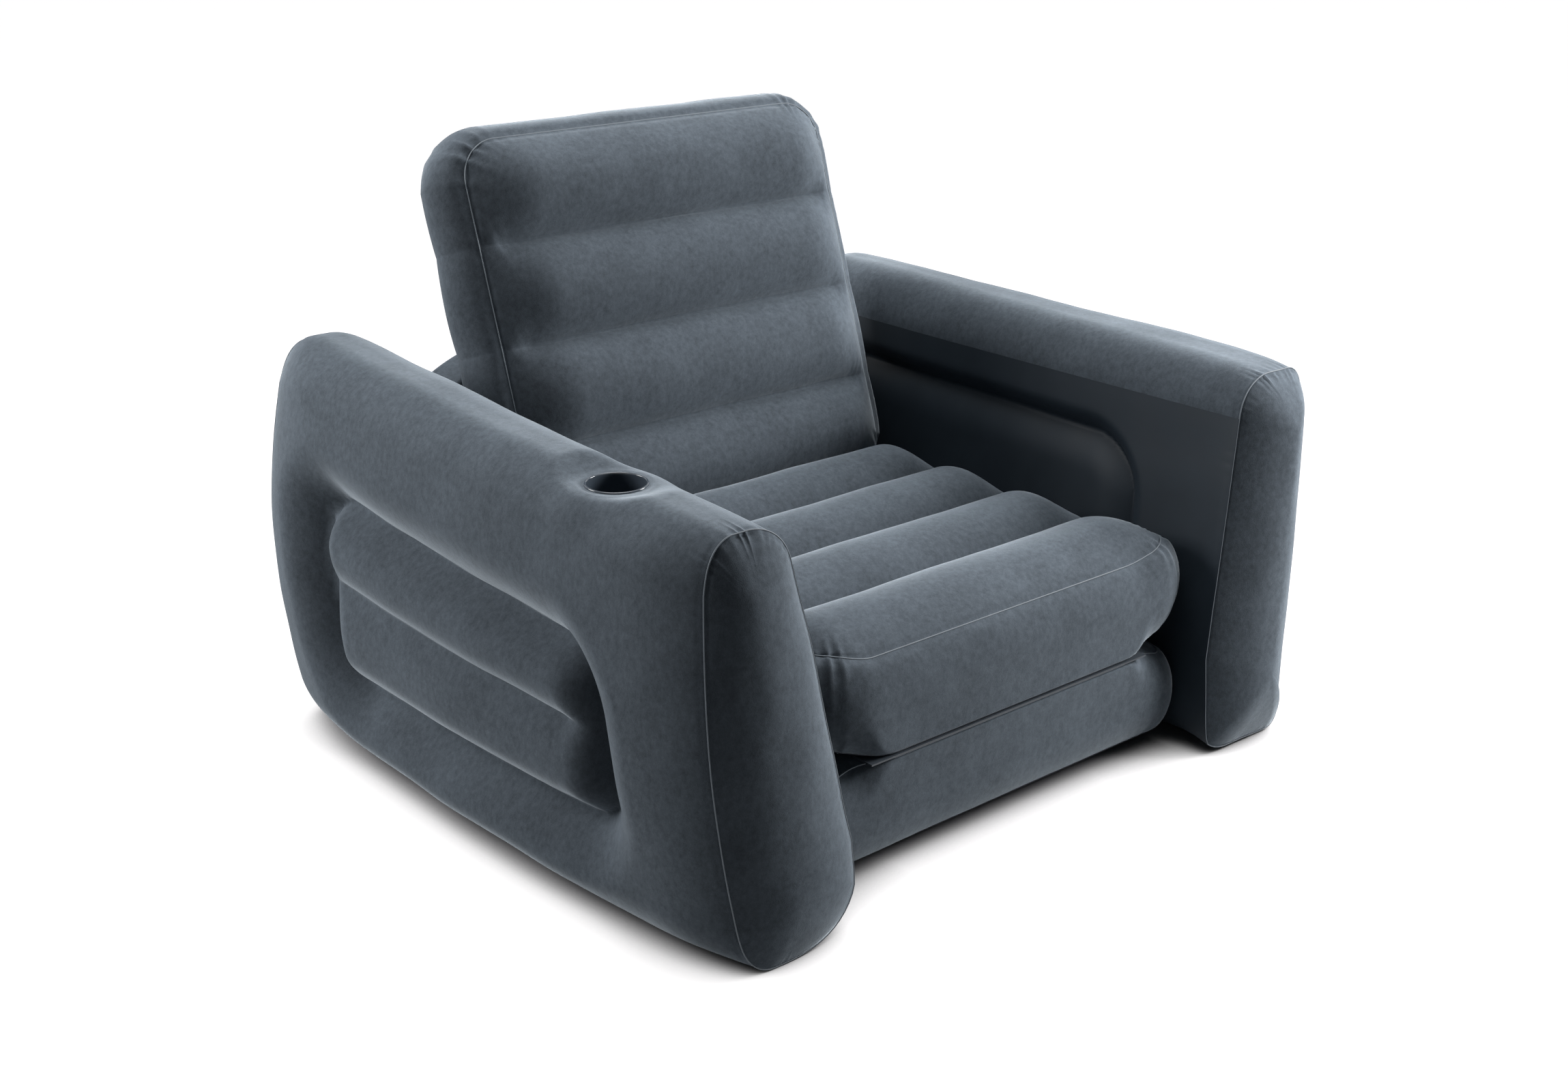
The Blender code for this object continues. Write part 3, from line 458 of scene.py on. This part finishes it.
def weld_bead(name, line, thickness, finish, closed=True):
    """Fine raised line of a welded seam, along a row of points."""
    curve = bpy.data.curves.new(name, "CURVE")
    curve.dimensions = "3D"
    curve.bevel_depth = thickness / 2
    curve.bevel_resolution = 1
    spline = curve.splines.new("POLY")
    spline.points.add(len(line) - 1)
    for point, (x, y, z) in zip(spline.points, line):
        point.co = (x, y, max(z, thickness / 2), 1.0)
    spline.use_cyclic_u = closed
    source = bpy.data.objects.new(name + "_line", curve)
    bpy.context.scene.collection.objects.link(source)
    bpy.context.view_layer.update()
    mesh = bpy.data.meshes.new_from_object(source)
    bpy.data.objects.remove(source)
    mesh.name = name
    mesh.materials.clear()
    mesh.materials.append(finish)
    mesh.shade_smooth()
    bead = bpy.data.objects.new(name, mesh)
    bpy.context.scene.collection.objects.link(bead)
    return bead


def rim_order(unit, level):
    """Indices of the points on one level of a brick's sides, in order round it."""
    a, b, c = unit.T
    on_rim = np.flatnonzero((np.abs(c - level) < 1e-4) & (np.maximum(np.abs(a), np.abs(b)) > 0.4999))
    keys = []
    for index in on_rim:
        p, q = a[index], b[index]
        if q < -0.4999:
            keys.append(p + 0.5)
        elif p > 0.4999:
            keys.append(1.0 + q + 0.5)
        elif q > 0.4999:
            keys.append(2.0 + 0.5 - p)
        else:
            keys.append(3.0 + 0.5 - q)
    return on_rim[np.argsort(keys)]


fold_front, fold_height = -0.447, 0.168
front_seam, seam_height, pitch = -0.4212, 0.2845, 0.1458
hinge_half = 0.235
base_sizes = dict(
    half_width=0.338, channels=5, pitch=pitch, corner=0.028, right_corner=0.028, gusset=0.139, crown=0.014,
    under_crown=0.030, side_bulge=0.024, front_bulge=0.0255, rear_bulge=0.0, tube_bump=0.0, web_lift=0.2,
    tube_face=60.0, roll=0.050, groove_fade=0.05, front_rise=0.0, rise_length=0.3, rear_rise=0.0, top_corner=-0.020,
    foot_corner=0.0, hinge_level=0.0, hinge_reach=0.022, pleat_radius=0.08, pleat=0.0012,
)
base_seam_height = 0.1655
arm_foot_face, arm_face_slope = 0.340, 0.164
top_bead, foot_bead, bead_lift = 0.0018, 0.0022, 0.0002
base_shell, base_points, base_unit = mattress_pad(base_sizes, (104, 120, 24), 11)
base_points += (0.0, front_seam, base_seam_height)
base_points = pressed(base_points, (0, 0, fold_height - 0.0022), (0, 0, 1), 0.002)
base_points = pressed(base_points, (0, 0, 0.0010), (0, 0, -1), 0.0008)
base_points = pressed(base_points, (0, fold_front + 0.0010, 0), (0, -1, 0), 0.0008)
for side in (-1, 1):
    base_points = pressed(base_points, (side * arm_foot_face, 0, 0), (side, 0, -arm_face_slope), 0.004)
settle(base_shell, base_points)
base_rim = base_points[rim_order(base_unit, 0.5)]
base_foot_rim = base_points[rim_order(base_unit, -0.5)]
base_pad = finished("base_pad", base_shell, slate_flock)
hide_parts("base_section")
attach(base_pad, "frame")
# The top welds get a lighter vinyl than the flock round them: partly the bare welded line, partly a painted highlight
# along each seam.
seam_highlight_film = vinyl_film("seam_highlight_film", (0.105, 0.125, 0.145), 0.55, 0.05)
for bead in (
    weld_bead("base_top_weld", base_rim + (0, 0, bead_lift), top_bead, seam_highlight_film),
    weld_bead("base_foot_weld", base_foot_rim, foot_bead, dark_vinyl),
):
    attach(bead, "frame")

# Seat section. The middle third: four tubes across the chair, a gusset band round them, and a rounded nose over
# the front fold. It turns over that fold with the seat body, and the arms squeeze its sides as it passes between them.
seat_sizes = dict(
    half_width=0.346, channels=4, pitch=pitch, corner=0.105, right_corner=0.056, gusset=0.1145, crown=0.052,
    under_crown=0.006, side_bulge=0.037, front_bulge=0.0255, rear_bulge=0.0, tube_bump=0.004, web_lift=0.22,
    tube_face=62.0, roll=0.085, groove_fade=0.045, front_rise=0.015, rise_length=0.30, rear_rise=0.006,
    top_corner=0.014, foot_corner=0.016, hinge_level=1.0, hinge_reach=0.022, pleat_radius=0.09, pleat=0.0032,
)
pad_rows = (132, 120, 22)
rear_fold = front_seam + 4 * pitch
lean = math.radians(18.4)
fold_half_angle = 0.5 * (math.pi / 2 + lean)
fold_face = (0.0, math.sin(fold_half_angle), math.cos(fold_half_angle))
seat_shell, seat_points, pad_unit = mattress_pad(seat_sizes, pad_rows, 23)
seat_points += (0.0, front_seam, seam_height)
seat_points = pressed(seat_points, (0, 0, fold_height + 0.0022), (0, 0, -1), 0.002)
seat_points = pressed(seat_points, (0, rear_fold - 0.0016, 0), (0, 1, 0), 0.002)
seat_points = pressed(seat_points, (0, fold_front + 0.0010, 0), (0, -1, 0), 0.0008)
seat_points = pressed(seat_points, (0, rear_fold, seam_height), fold_face, 0.003)
for side in (-1, 1):
    seat_points = pressed(seat_points, (side * arm_foot_face, 0, 0), (side, 0, -arm_face_slope), 0.003)
settle(seat_shell, seat_points)
seat_rim = seat_points[rim_order(pad_unit, 0.5)]
seat_foot_rim = seat_points[rim_order(pad_unit, -0.5)]
seat_pad = finished("seat_pad", seat_shell, slate_flock)
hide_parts("seat_section")
# The seat's top weld is in the lighter seam vinyl, partly a painted highlight.
seat_pieces = [
    seat_pad,
    weld_bead("seat_top_weld", seat_rim + (0, 0, bead_lift), top_bead, seam_highlight_film),
    weld_bead("seat_foot_weld", seat_foot_rim, 0.0020, dark_vinyl),
]
for piece in seat_pieces:
    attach(piece, "seat")
    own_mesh(piece)

# Backrest section. The last third, made like the seat and leaning back against the rear wall. It turns on the fold
# behind the seat, and its gusset is flat round the mattress's valve, which is welded into its left side.
back_sizes = dict(
    half_width=0.326, channels=4, pitch=pitch, corner=0.060, right_corner=0.060, gusset=0.106, crown=0.049,
    under_crown=0.040, side_bulge=0.031, front_bulge=0.0, rear_bulge=0.0255, tube_bump=0.005, web_lift=0.22,
    tube_face=62.0, roll=0.095, groove_fade=0.045, front_rise=0.0, rise_length=0.3, rear_rise=0.0, top_corner=0.0,
    foot_corner=0.0, hinge_level=1.0, hinge_reach=0.0, pleat_radius=0.09, pleat=0.0032,
)
back_shift = 0.004
lean_matrix = Matrix.Translation((back_shift, rear_fold, seam_height)) @ Matrix.Rotation(math.pi / 2 - lean, 4, "X")


def placed(points, matrix):
    array = np.array(matrix)
    return points @ array[:3, :3].T + array[:3, 3]


back_shell, back_points, pad_unit = mattress_pad(back_sizes, pad_rows, 37)
back_points = pressed(back_points, (0, 0.0016, 0), (0, -1, 0), 0.002)
valve_along, valve_face = 0.370, 0.3400
from_valve = np.hypot(back_points[:, 1] - valve_along, back_points[:, 2] + 0.5 * back_sizes["gusset"])
flat = pressed(back_points, (valve_face, 0, 0), (1, 0, 0), 0.001)
back_points += (flat - back_points) * eased((0.085 - from_valve) / 0.050)[:, None] * (back_points[:, :1] > 0)
back_points = placed(back_points, lean_matrix)
back_points = pressed(back_points, (0, rear_fold, seam_height), [-c for c in fold_face], 0.003)
settle(back_shell, back_points)
back_rim = back_points[rim_order(pad_unit, 0.5)]
back_foot_rim = back_points[rim_order(pad_unit, -0.5)]
backrest_pad = finished("backrest_pad", back_shell, slate_flock)
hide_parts("backrest_section")
# The backrest's welds are in the lighter seam vinyl, partly a painted highlight.
back_pieces = [
    backrest_pad,
    weld_bead("backrest_front_weld", back_rim, top_bead, seam_highlight_film),
    weld_bead("backrest_rear_weld", back_foot_rim, top_bead, seam_highlight_film),
]
for piece in back_pieces:
    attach(piece, "backrest")

# Arms. Each is a tall air chamber of flocked vinyl, narrow on top and wide at the foot, with a recess in both sides
# where inner walls pull the skin in. Its front and rear panels are welded in along a seam that runs round the nose,
# and a smooth vinyl sheet, welded all round, covers the side towards the seat.
arm_columns = dict(
    foot=26, outer_foot=16, outer_side=84, outer_top=38, top=16, inner_top=30, inner_side=76, inner_foot=16,
)
inner_side_run, inner_foot_run = 6, 7
nose_rows, panel_rows, body_rows = 20, 24, 212
seam_angle = math.radians(50)


def arm_ring(shape, share):
    """Cross-section of an arm at a share of its length: points (x, z), outward normals and each point's run."""
    rear_round = shape["rear_round"] * (1 - math.sqrt(1 - min(max((share - 0.90) / 0.10, 0.0), 1.0) ** 2))
    top = shape["front_height"] + (shape["rear_height"] - shape["front_height"]) * share**1.6 - rear_round
    belly = shape["belly"] * math.sin(math.pi * share) ** 0.8 + shape["rear_spread"] * share
    inner = shape["inner_foot"] + shape["inner_slope"] * np.array((0.0, top))
    corners = np.array([
        (inner[0], 0.0), (shape["outer_foot"] + belly, 0.0), (shape["outer_top"], top), (inner[1], top),
    ])
    inner_radius = shape["foot_radius"] + shape["inner_round"] * (1 - min(share / 0.16, 1.0)) ** 1.5
    top_radius = min(shape["top_radius"] + shape["top_widening"] * share, 0.46 * (corners[2, 0] - corners[3, 0]))
    radii = (inner_radius, shape["foot_radius"], top_radius, top_radius)
    fillets = []
    for k in range(4):
        before, after = corners[k - 1] - corners[k], corners[(k + 1) % 4] - corners[k]
        before, after = before / np.linalg.norm(before), after / np.linalg.norm(after)
        half_turn = math.acos(float(before @ after)) / 2
        reach = radii[k] / math.tan(half_turn)
        middle = (before + after) / np.linalg.norm(before + after)
        centre = corners[k] + middle * radii[k] / math.sin(half_turn)
        fillets.append((corners[k] + before * reach, corners[k] + after * reach, centre, radii[k]))
    points, normals, runs = [], [], []
    counts = list(arm_columns.values())
    for k in range(4):
        start, stop = fillets[k][1], fillets[(k + 1) % 4][0]
        steps = counts[2 * k]
        shares = np.arange(steps)[:, None] / steps
        direction = (stop - start) / np.linalg.norm(stop - start)
        points.append(start + (stop - start) * shares)
        normals.append(np.tile((direction[1], -direction[0]), (steps, 1)))
        runs += [2 * k] * steps
        first, last, centre, radius = fillets[(k + 1) % 4]
        steps = counts[2 * k + 1]
        a, b = first - centre, last - centre
        turn = math.acos(float(a @ b) / radius**2)
        shares = np.arange(steps)[:, None] / steps
        arm = (a * np.sin((1 - shares) * turn) + b * np.sin(shares * turn)) / math.sin(turn)
        points.append(centre + arm)
        normals.append(arm / radius)
        runs += [2 * k + 1] * steps
    points, normals = np.concatenate(points), np.concatenate(normals)
    swell = (shape["swell"] + 0.018 * share) * np.sin(math.pi * np.clip(points[:, 1] / top, 0, 1))
    points[:, 0] += np.where(normals[:, 0] > 0, swell * normals[:, 0], 0.0)
    return points, normals, np.array(runs)


def recess_dip(y, z, shape):
    """Inward dip of an arm's side: a rounded frame falls to a crease, and a padded panel rises inside it."""
    y = y - shape["lean"] * (z - shape["mid_z"])
    z = z - shape["tilt"] * (y - shape["mid_y"])
    half_z = shape["half_z"] + shape["taper"] * (y - shape["mid_y"])
    reach_y = np.abs(y - shape["mid_y"]) - (shape["half_y"] - shape["corner"])
    reach_z = np.abs(z - shape["mid_z"]) - (half_z - shape["corner"])
    distance = np.hypot(np.maximum(reach_y, 0), np.maximum(reach_z, 0)) + np.minimum(np.maximum(reach_y, reach_z), 0)
    distance -= shape["corner"]
    level = (z - shape["mid_z"]) / half_z - shape["groove"]
    place = np.abs(level) / (1 - np.sign(level) * shape["groove"])
    crest = np.where(level > 0, shape["sag"], 1 - shape["sag"])
    tube = np.where(place < crest, 1 - place / crest, (place - crest) / (1 - crest))
    end_fade = 0.4 + 0.6 * eased((shape["half_y"] - 0.010 - np.abs(y - shape["mid_y"])) / 0.05)
    ripple = 1 - shape["ripple"] * np.clip(tube, 0, 1) ** 2.2 * end_fade
    inside = 1 - shape["crown"] * (1 - (1 - np.clip(-distance / (0.50 * half_z), 0, 1)) ** 2.3) * ripple
    outside = (1 - np.clip(distance / shape["roll"], 0, 1)) ** 1.8
    return shape["depth"] * np.where(distance > 0, outside, inside), distance


def arm_skin(shape, seed):
    """Rows of rings of one arm's skin from the middle of its front panel to the middle of its rear one, at +X."""
    theta_panel = np.linspace(math.pi / 2 - 0.012, seam_angle, panel_rows)
    theta_nose = np.linspace(seam_angle, 0.0, nose_rows + 1)[1:]
    thetas = [*theta_panel, *theta_nose]
    rows = [("front", theta) for theta in thetas]
    rows += [("body", step / body_rows) for step in range(1, body_rows)]
    rows += [("rear", theta) for theta in reversed(thetas)]
    front_long, rear_long, total = shape["front_long"], shape["rear_long"], shape["long"]
    skin, facings = [], []
    for kind, value in rows:
        if kind == "body":
            along = front_long + value * (total - front_long - rear_long)
            inset_share = 0.0
        else:
            power = shape["front_power"] if kind == "front" else shape["rear_power"]
            depth = (1 - math.sin(value) ** (2 / power)) * (front_long if kind == "front" else rear_long)
            along = depth if kind == "front" else total - depth
            inset_share = 1 - math.cos(value) ** (2 / power)
        share = np.clip(along / total, 0, 1)
        points, normals, runs = arm_ring(shape, share)
        if kind != "body":
            seam_share = 1 - math.cos(seam_angle) ** (2 / power)
            widths = shape["front_widths"] if kind == "front" else shape["rear_widths"]
            low = np.clip(-normals[:, 1], 0, 1) ** 2
            high = np.clip(normals[:, 1], 0, 1) ** 2
            outer_w = np.clip(normals[:, 0], 0, 1) ** 2
            inner_w = np.clip(-normals[:, 0], 0, 1) ** 2
            width = low * widths["foot"] + high * widths["top"] + outer_w * widths["outer"] + inner_w * widths["inner"]
            flare = inner_w * shape["flare"] * np.clip(1.0 - points[:, 1] / 0.50, 0, 1) * (kind == "front")
            flare = np.minimum(flare, np.where(points[:, 1] < 0.15, np.maximum(points[:, 0] - 0.3475, 0.0), 1.0))
            flare = flare / seam_share
            if inset_share <= seam_share:
                points = points - normals * ((width - flare) * inset_share)[:, None]
            else:
                seam_points = points - normals * ((width - flare) * seam_share)[:, None]
                top = points[:, 1].max()
                near_top = points[points[:, 1] > top - 0.12, 0]
                low_mid = np.array((0.5 * (shape["inner_foot"] + shape["outer_foot"]) + 0.004, 0.115))
                high_mid = np.array((0.5 * (near_top.min() + near_top.max()), top - 0.088))
                place = np.clip((seam_points[:, 1] - low_mid[1]) / (high_mid[1] - low_mid[1]), 0, 1)
                medial = low_mid + (high_mid - low_mid) * eased(place)[:, None]
                inward = (inset_share - seam_share) / (1 - seam_share)
                points = seam_points * (1 - inward) + medial * inward
        front = shape["front_foot"] + 0.0917 * points[:, 1]
        y = front + (along / total) * (shape["rear"] - front)
        skin.append(np.stack([points[:, 0], y, np.maximum(points[:, 1], 0.0)], 1))
        facings.append(normals[:, 0])
    skin = np.array(skin)
    outer_dip, outer_crease = recess_dip(skin[..., 1], skin[..., 2], shape["outer_recess"])
    inner_dip, inner_crease = recess_dip(skin[..., 1], skin[..., 2], shape["inner_recess"])
    row = np.arange(len(rows))
    from_cap = np.minimum(row, len(rows) - 1 - row)
    on_body = np.clip((from_cap - panel_rows) / 6.0, 0, 1)[:, None]
    facing_side = np.array(facings) * on_body
    on_outer, on_inner = eased(facing_side / 0.75), eased(-facing_side / 0.75)
    skin[..., 0] += inner_dip * on_inner - outer_dip * on_outer
    along_rows = np.gradient(skin, axis=0)
    across = np.roll(skin, -1, axis=1) - np.roll(skin, 1, axis=1)
    normal = np.cross(along_rows, across)
    normal /= np.maximum(np.linalg.norm(normal, axis=2, keepdims=True), 1e-12)
    steps = np.linalg.norm(np.roll(skin[panel_rows], -1, axis=0) - skin[panel_rows], axis=1)
    girth = np.concatenate([[0], np.cumsum(steps)[:-1]])
    push = np.zeros(skin.shape[:2])
    top_bias = np.clip(normal[panel_rows + 15, :, 2], 0, 1)
    for seam_row, seam_seed in ((panel_rows - 1, seed), (len(rows) - panel_rows, seed + 5)):
        reach = np.linalg.norm(skin - skin[seam_row][None], axis=2)
        amount = 0.0004 + 0.0024 * top_bias**1.5
        fade = np.exp(-reach / (0.008 + 0.003 * top_bias)) * eased(reach / 0.004)
        push += amount * fade * gathers(girth, 0.014, seam_seed)[None, :]
        push -= 0.0012 * np.exp(-((reach - 0.002) / 0.0028) ** 2) * (reach > 0.0004)
    for crease, on in ((outer_crease, on_outer), (inner_crease, on_inner)):
        near = np.exp(-np.abs(crease) / 0.012) * eased(np.abs(crease) / 0.003) * on
        run = skin[..., 1] + skin[..., 2] * 1.3
        push += 0.0002 * near * gathers(run.ravel(), 0.023, seed + 9).reshape(run.shape)
    push += 0.0013 * unevenness(skin.reshape(-1, 3), seed + 3).reshape(push.shape)
    skin += normal * (push * eased(from_cap / 9.0)[:, None])[..., None]
    skin[..., 2] = np.where(skin[..., 2] < 0.004, np.maximum(skin[..., 2], 0.0004), skin[..., 2])
    return skin, normal, runs


def woven(name, surface, closed, finish):
    """A grid of points as a mesh: a sheet, or with its columns joined into a tube and its open ends capped."""
    rows, columns = surface.shape[:2]
    if closed:
        surface = np.concatenate([surface, surface[:, :1]], 1)
        columns += 1
    shell = bmesh.new()
    bmesh.ops.create_grid(shell, x_segments=columns - 1, y_segments=rows - 1, size=1.0)
    shell.verts.ensure_lookup_table()
    for vert in shell.verts:
        column = round((vert.co.x + 1) / 2 * (columns - 1))
        row = round((vert.co.y + 1) / 2 * (rows - 1))
        vert.co = surface[row, column]
    if closed:
        bmesh.ops.remove_doubles(shell, verts=shell.verts, dist=1e-6)
        bmesh.ops.holes_fill(shell, edges=[e for e in shell.edges if e.is_boundary], sides=0)
    return finished(name, shell, finish)


outer_recess = dict(mid_y=0.0095, mid_z=0.2415, half_y=0.3035, half_z=0.1225, corner=0.060, roll=0.086, depth=0.056,
                    crown=0.80, ripple=0.50, groove=0.16, sag=0.46, tilt=0.0276, lean=0.16, taper=0.0425)
inner_recess = dict(mid_y=0.040, mid_z=0.285, half_y=0.330, half_z=0.125, corner=0.085, roll=0.032, depth=0.024,
                    crown=0.80, ripple=0.0, groove=0.0, sag=0.5, tilt=0.015, lean=0.09, taper=0.0)
near_shape = dict(
    front_foot=-0.5475, rear=0.515, long=1.06, front_long=0.1379, rear_long=0.2055, front_power=2.04, rear_power=2.434,
    inner_foot=0.345, inner_slope=0.150, outer_foot=0.5371, outer_top=0.5652, belly=0.0439, rear_spread=0.0268,
    swell=0.0217, foot_radius=0.0686, inner_round=0.0334, top_radius=0.0693, top_widening=0.0288, front_height=0.5415,
    rear_height=0.5891, rear_round=0.0723, flare=0.0208,
    front_widths=dict(foot=0.003, top=0.0156, outer=0.071, inner=0.002),
    rear_widths=dict(foot=0.0107, top=0.0187, outer=0.088, inner=0.060),
    outer_recess=outer_recess, inner_recess=inner_recess,
)
far_shape = dict(
    near_shape, outer_foot=0.5395, outer_top=0.598, belly=0.0231, rear_spread=0.010, swell=0.0076, foot_radius=0.0614,
    top_radius=0.0654, top_widening=0.017, front_height=0.5455, rear_height=0.556, front_foot=-0.540, rear=0.526,
    front_long=0.1582, inner_round=0.008, flare=0.0284, front_power=1.80,
    front_widths=dict(foot=0.0115, top=0.0201, outer=0.1004, inner=0.0),
)
sheet_top, sheet_lift = 0.486, 0.0012
cup_place, cup_rim, above_cup = np.array((-0.490, -0.241)), 0.5325, 0.47
for side, shape, name, seed in ((-1, near_shape, "right_arm", 51), (1, far_shape, "left_arm", 67)):
    skin, normal, runs = arm_skin(shape, seed)
    mirror = np.array((side, 1.0, 1.0))
    if side < 0:
        from_cup = np.hypot(skin[..., 0] + cup_place[0], skin[..., 1] - cup_place[1])
        near_cup = (1.0 - eased((from_cup - 0.040) / 0.055)) * (skin[..., 2] > above_cup)
        skin[..., 2] += near_cup * (cup_rim - skin[..., 2])
        skin[..., 2] += 0.0006 * np.exp(-((from_cup - 0.047) / 0.0035) ** 2) * (skin[..., 2] > above_cup)
    arm = woven(name + "_chamber", skin * mirror, True, slate_flock)
    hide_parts(name)
    front_ring, rear_ring = skin[panel_rows - 1] * mirror, skin[-panel_rows] * mirror
    # Front and rear welds in the lighter seam vinyl, partly a painted highlight.
    front_bead = weld_bead(name + "_front_weld", front_ring, top_bead, seam_highlight_film)
    rear_bead = weld_bead(name + "_rear_weld", rear_ring, top_bead, seam_highlight_film)
    lap = (skin[panel_rows + 28, :, 2] < sheet_top) & (runs == inner_side_run)
    columns = np.flatnonzero(lap | (runs == inner_foot_run))
    columns = np.concatenate([columns, np.arange(arm_columns["foot"] // 2)])
    sheet_rows = slice(panel_rows - 1, len(skin) - panel_rows + 1)
    sheet_points = skin[sheet_rows][:, columns] + normal[sheet_rows][:, columns] * sheet_lift
    sheet_points[..., 2] = np.maximum(sheet_points[..., 2], 0.0002)
    inner = woven(name + "_inner_skin", sheet_points * mirror, False, dark_vinyl)
    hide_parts(name + "_inner_sheet")
    if side < 0:
        near_arm = arm
    for piece in (arm, front_bead, rear_bead):
        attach(piece, "frame")
    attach(inner, "frame")

# Cup. A glossy moulded vinyl cup with a thin rounded lip. It is welded into a round hole in the right arm's top,
# where the flocked skin is drawn down to a shallow dish.
bore, cup_depth, cup_wall, cup_segments, pit_depth = 0.0356, 0.065, 0.0014, 96, 0.16
pit_radius, pit_floor = bore + cup_wall, cup_rim - cup_depth - 0.002
pit = bmesh.new()
bmesh.ops.create_cone(pit, cap_ends=True, segments=cup_segments, radius1=pit_radius, radius2=pit_radius,
                      depth=pit_depth)
bmesh.ops.translate(pit, verts=pit.verts, vec=(*cup_place, pit_floor + pit_depth / 2))
pit_cutter = finished("cup_pit", pit, slate_flock)
cut = near_arm.modifiers.new("cup_pit", "BOOLEAN")
cut.operation, cut.solver, cut.object = "DIFFERENCE", "EXACT", pit_cutter
bpy.context.view_layer.update()
cut_mesh = bpy.data.meshes.new_from_object(near_arm.evaluated_get(bpy.context.evaluated_depsgraph_get()))
near_arm.modifiers.clear()
near_arm.data = cut_mesh
near_arm.data.shade_smooth()
bpy.data.objects.remove(pit_cutter)

cup_floor, floor_half, floor_round, lip = -cup_depth + cup_wall, bore - 0.012, 0.011, 0.0016
outline = [(0.0, cup_floor), (floor_half, cup_floor)]
outline += [(floor_half + floor_round * math.sin(t), cup_floor + floor_round * (1 - math.cos(t)))
            for t in np.linspace(0.25, 1.45, 5)]
outline += [(bore, -0.030), (bore + 0.0004, -0.004)]
outline += [(bore + lip - lip * math.cos(t), lip * math.sin(t)) for t in np.linspace(0.3, math.pi - 0.2, 8)]
outline += [(bore + 0.0030, -0.0030)]
cup_shell = bmesh.new()
rim_verts = [cup_shell.verts.new((radius, 0.0, height)) for radius, height in outline]
rim_edges = [cup_shell.edges.new(pair) for pair in zip(rim_verts, rim_verts[1:])]
bmesh.ops.spin(cup_shell, geom=rim_verts + rim_edges, axis=(0, 0, 1), cent=(0, 0, 0), angle=2 * math.pi,
               steps=cup_segments, use_merge=True)
bmesh.ops.remove_doubles(cup_shell, verts=cup_shell.verts, dist=1e-6)


def round_order(point):
    """A number that grows round the cup, then up it. The spin leaves its faces in an order that changes by run."""
    turn, radius = math.atan2(point.y, point.x), math.hypot(point.x, point.y)
    return 1e4 * round(turn, 5) + 100 * round(point.z, 6) + round(radius, 6)


cup_shell.verts.sort(key=lambda vert: round_order(vert.co))
cup_shell.faces.sort(key=lambda face: round_order(face.calc_center_median()))
bmesh.ops.translate(cup_shell, verts=cup_shell.verts, vec=(*cup_place, cup_rim + 0.0006))
cup_gloss = vinyl_film("cup_gloss", (0.050, 0.063, 0.080), 0.10, 0.01)
cup = finished("cup", cup_shell, cup_gloss)
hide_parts("cup_holder")
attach(cup, "frame")

# Rear wall. A flocked air chamber between the arms, as high as they are at its middle and rounded off at its ends.
# It presses on both arms' inner sides, and holds the backrest up from behind.
wall_half, wall_height, wall_foot_front, wall_foot_rear = 0.402, 0.516, 0.3118, 0.518
wall_shell = brick(72, 30, 60)
wall_unit = np.array([vert.co for vert in wall_shell.verts])
half_sizes = np.array((wall_half, 0.5, wall_height / 2))
corner_sizes = np.empty_like(wall_unit)
corner_sizes[:, 0] = 0.24
corner_sizes[:, 1] = 0.22
corner_sizes[:, 2] = np.where(wall_unit[:, 2] > 0, 0.17, 0.05)
wall_points = wall_unit * 2 * half_sizes
kept_in = np.clip(wall_points, corner_sizes - half_sizes, half_sizes - corner_sizes)
corner_way = (wall_points - kept_in) / corner_sizes
corner_way /= np.maximum(np.linalg.norm(corner_way, axis=1), 1.0)[:, None]
wall_points = kept_in + corner_way * corner_sizes
wall_points[:, 2] += wall_height / 2
level = wall_points[:, 2]
wall_top_front = rear_fold + (0.143 + (0.47 - seam_height) * math.sin(lean)) / math.cos(lean)
front_face = wall_foot_front + (wall_top_front - wall_foot_front) * np.clip(level / 0.47, 0, 1.1)
rear_face = wall_foot_rear - 0.022 * level / wall_height
wall_points[:, 1] = front_face + (wall_points[:, 1] + 0.5) * (rear_face - front_face)
behind = (0.0, rear_fold + 0.146 / math.cos(lean), seam_height)
wall_points = pressed(wall_points, behind, (0.0, -math.cos(lean), math.sin(lean)), 0.004)
for side in (-1, 1):
    wall_points = pressed(wall_points, (side * arm_foot_face, 0, 0), (side, 0, -arm_face_slope), 0.004)
wall_points[:, 2] = np.maximum(wall_points[:, 2], 0.0004)
settle(wall_shell, wall_points)
wall = finished("rear_wall_chamber", wall_shell, slate_flock)
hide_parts("rear_wall")
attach(wall, "frame")

# Flanges, webs and valves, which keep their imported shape. Flat vinyl flanges join the sections at the folds, vinyl
# webs hidden in the chambers tie their panels together, and a moulded valve with stopper and cap closes each circuit.
flange_edge = vinyl_film("flange_edge", (0.040, 0.048, 0.058), 0.40, 0.05)
valve_gray = vinyl_film("valve_gray", (0.060, 0.062, 0.066), 0.35, 0.02)
for node_name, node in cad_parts.items():
    for kind, finish in (("flange", flange_edge), ("valve", valve_gray), ("web", dark_vinyl)):
        if kind in node_name:
            for material_slot in node.material_slots:
                material_slot.material = finish
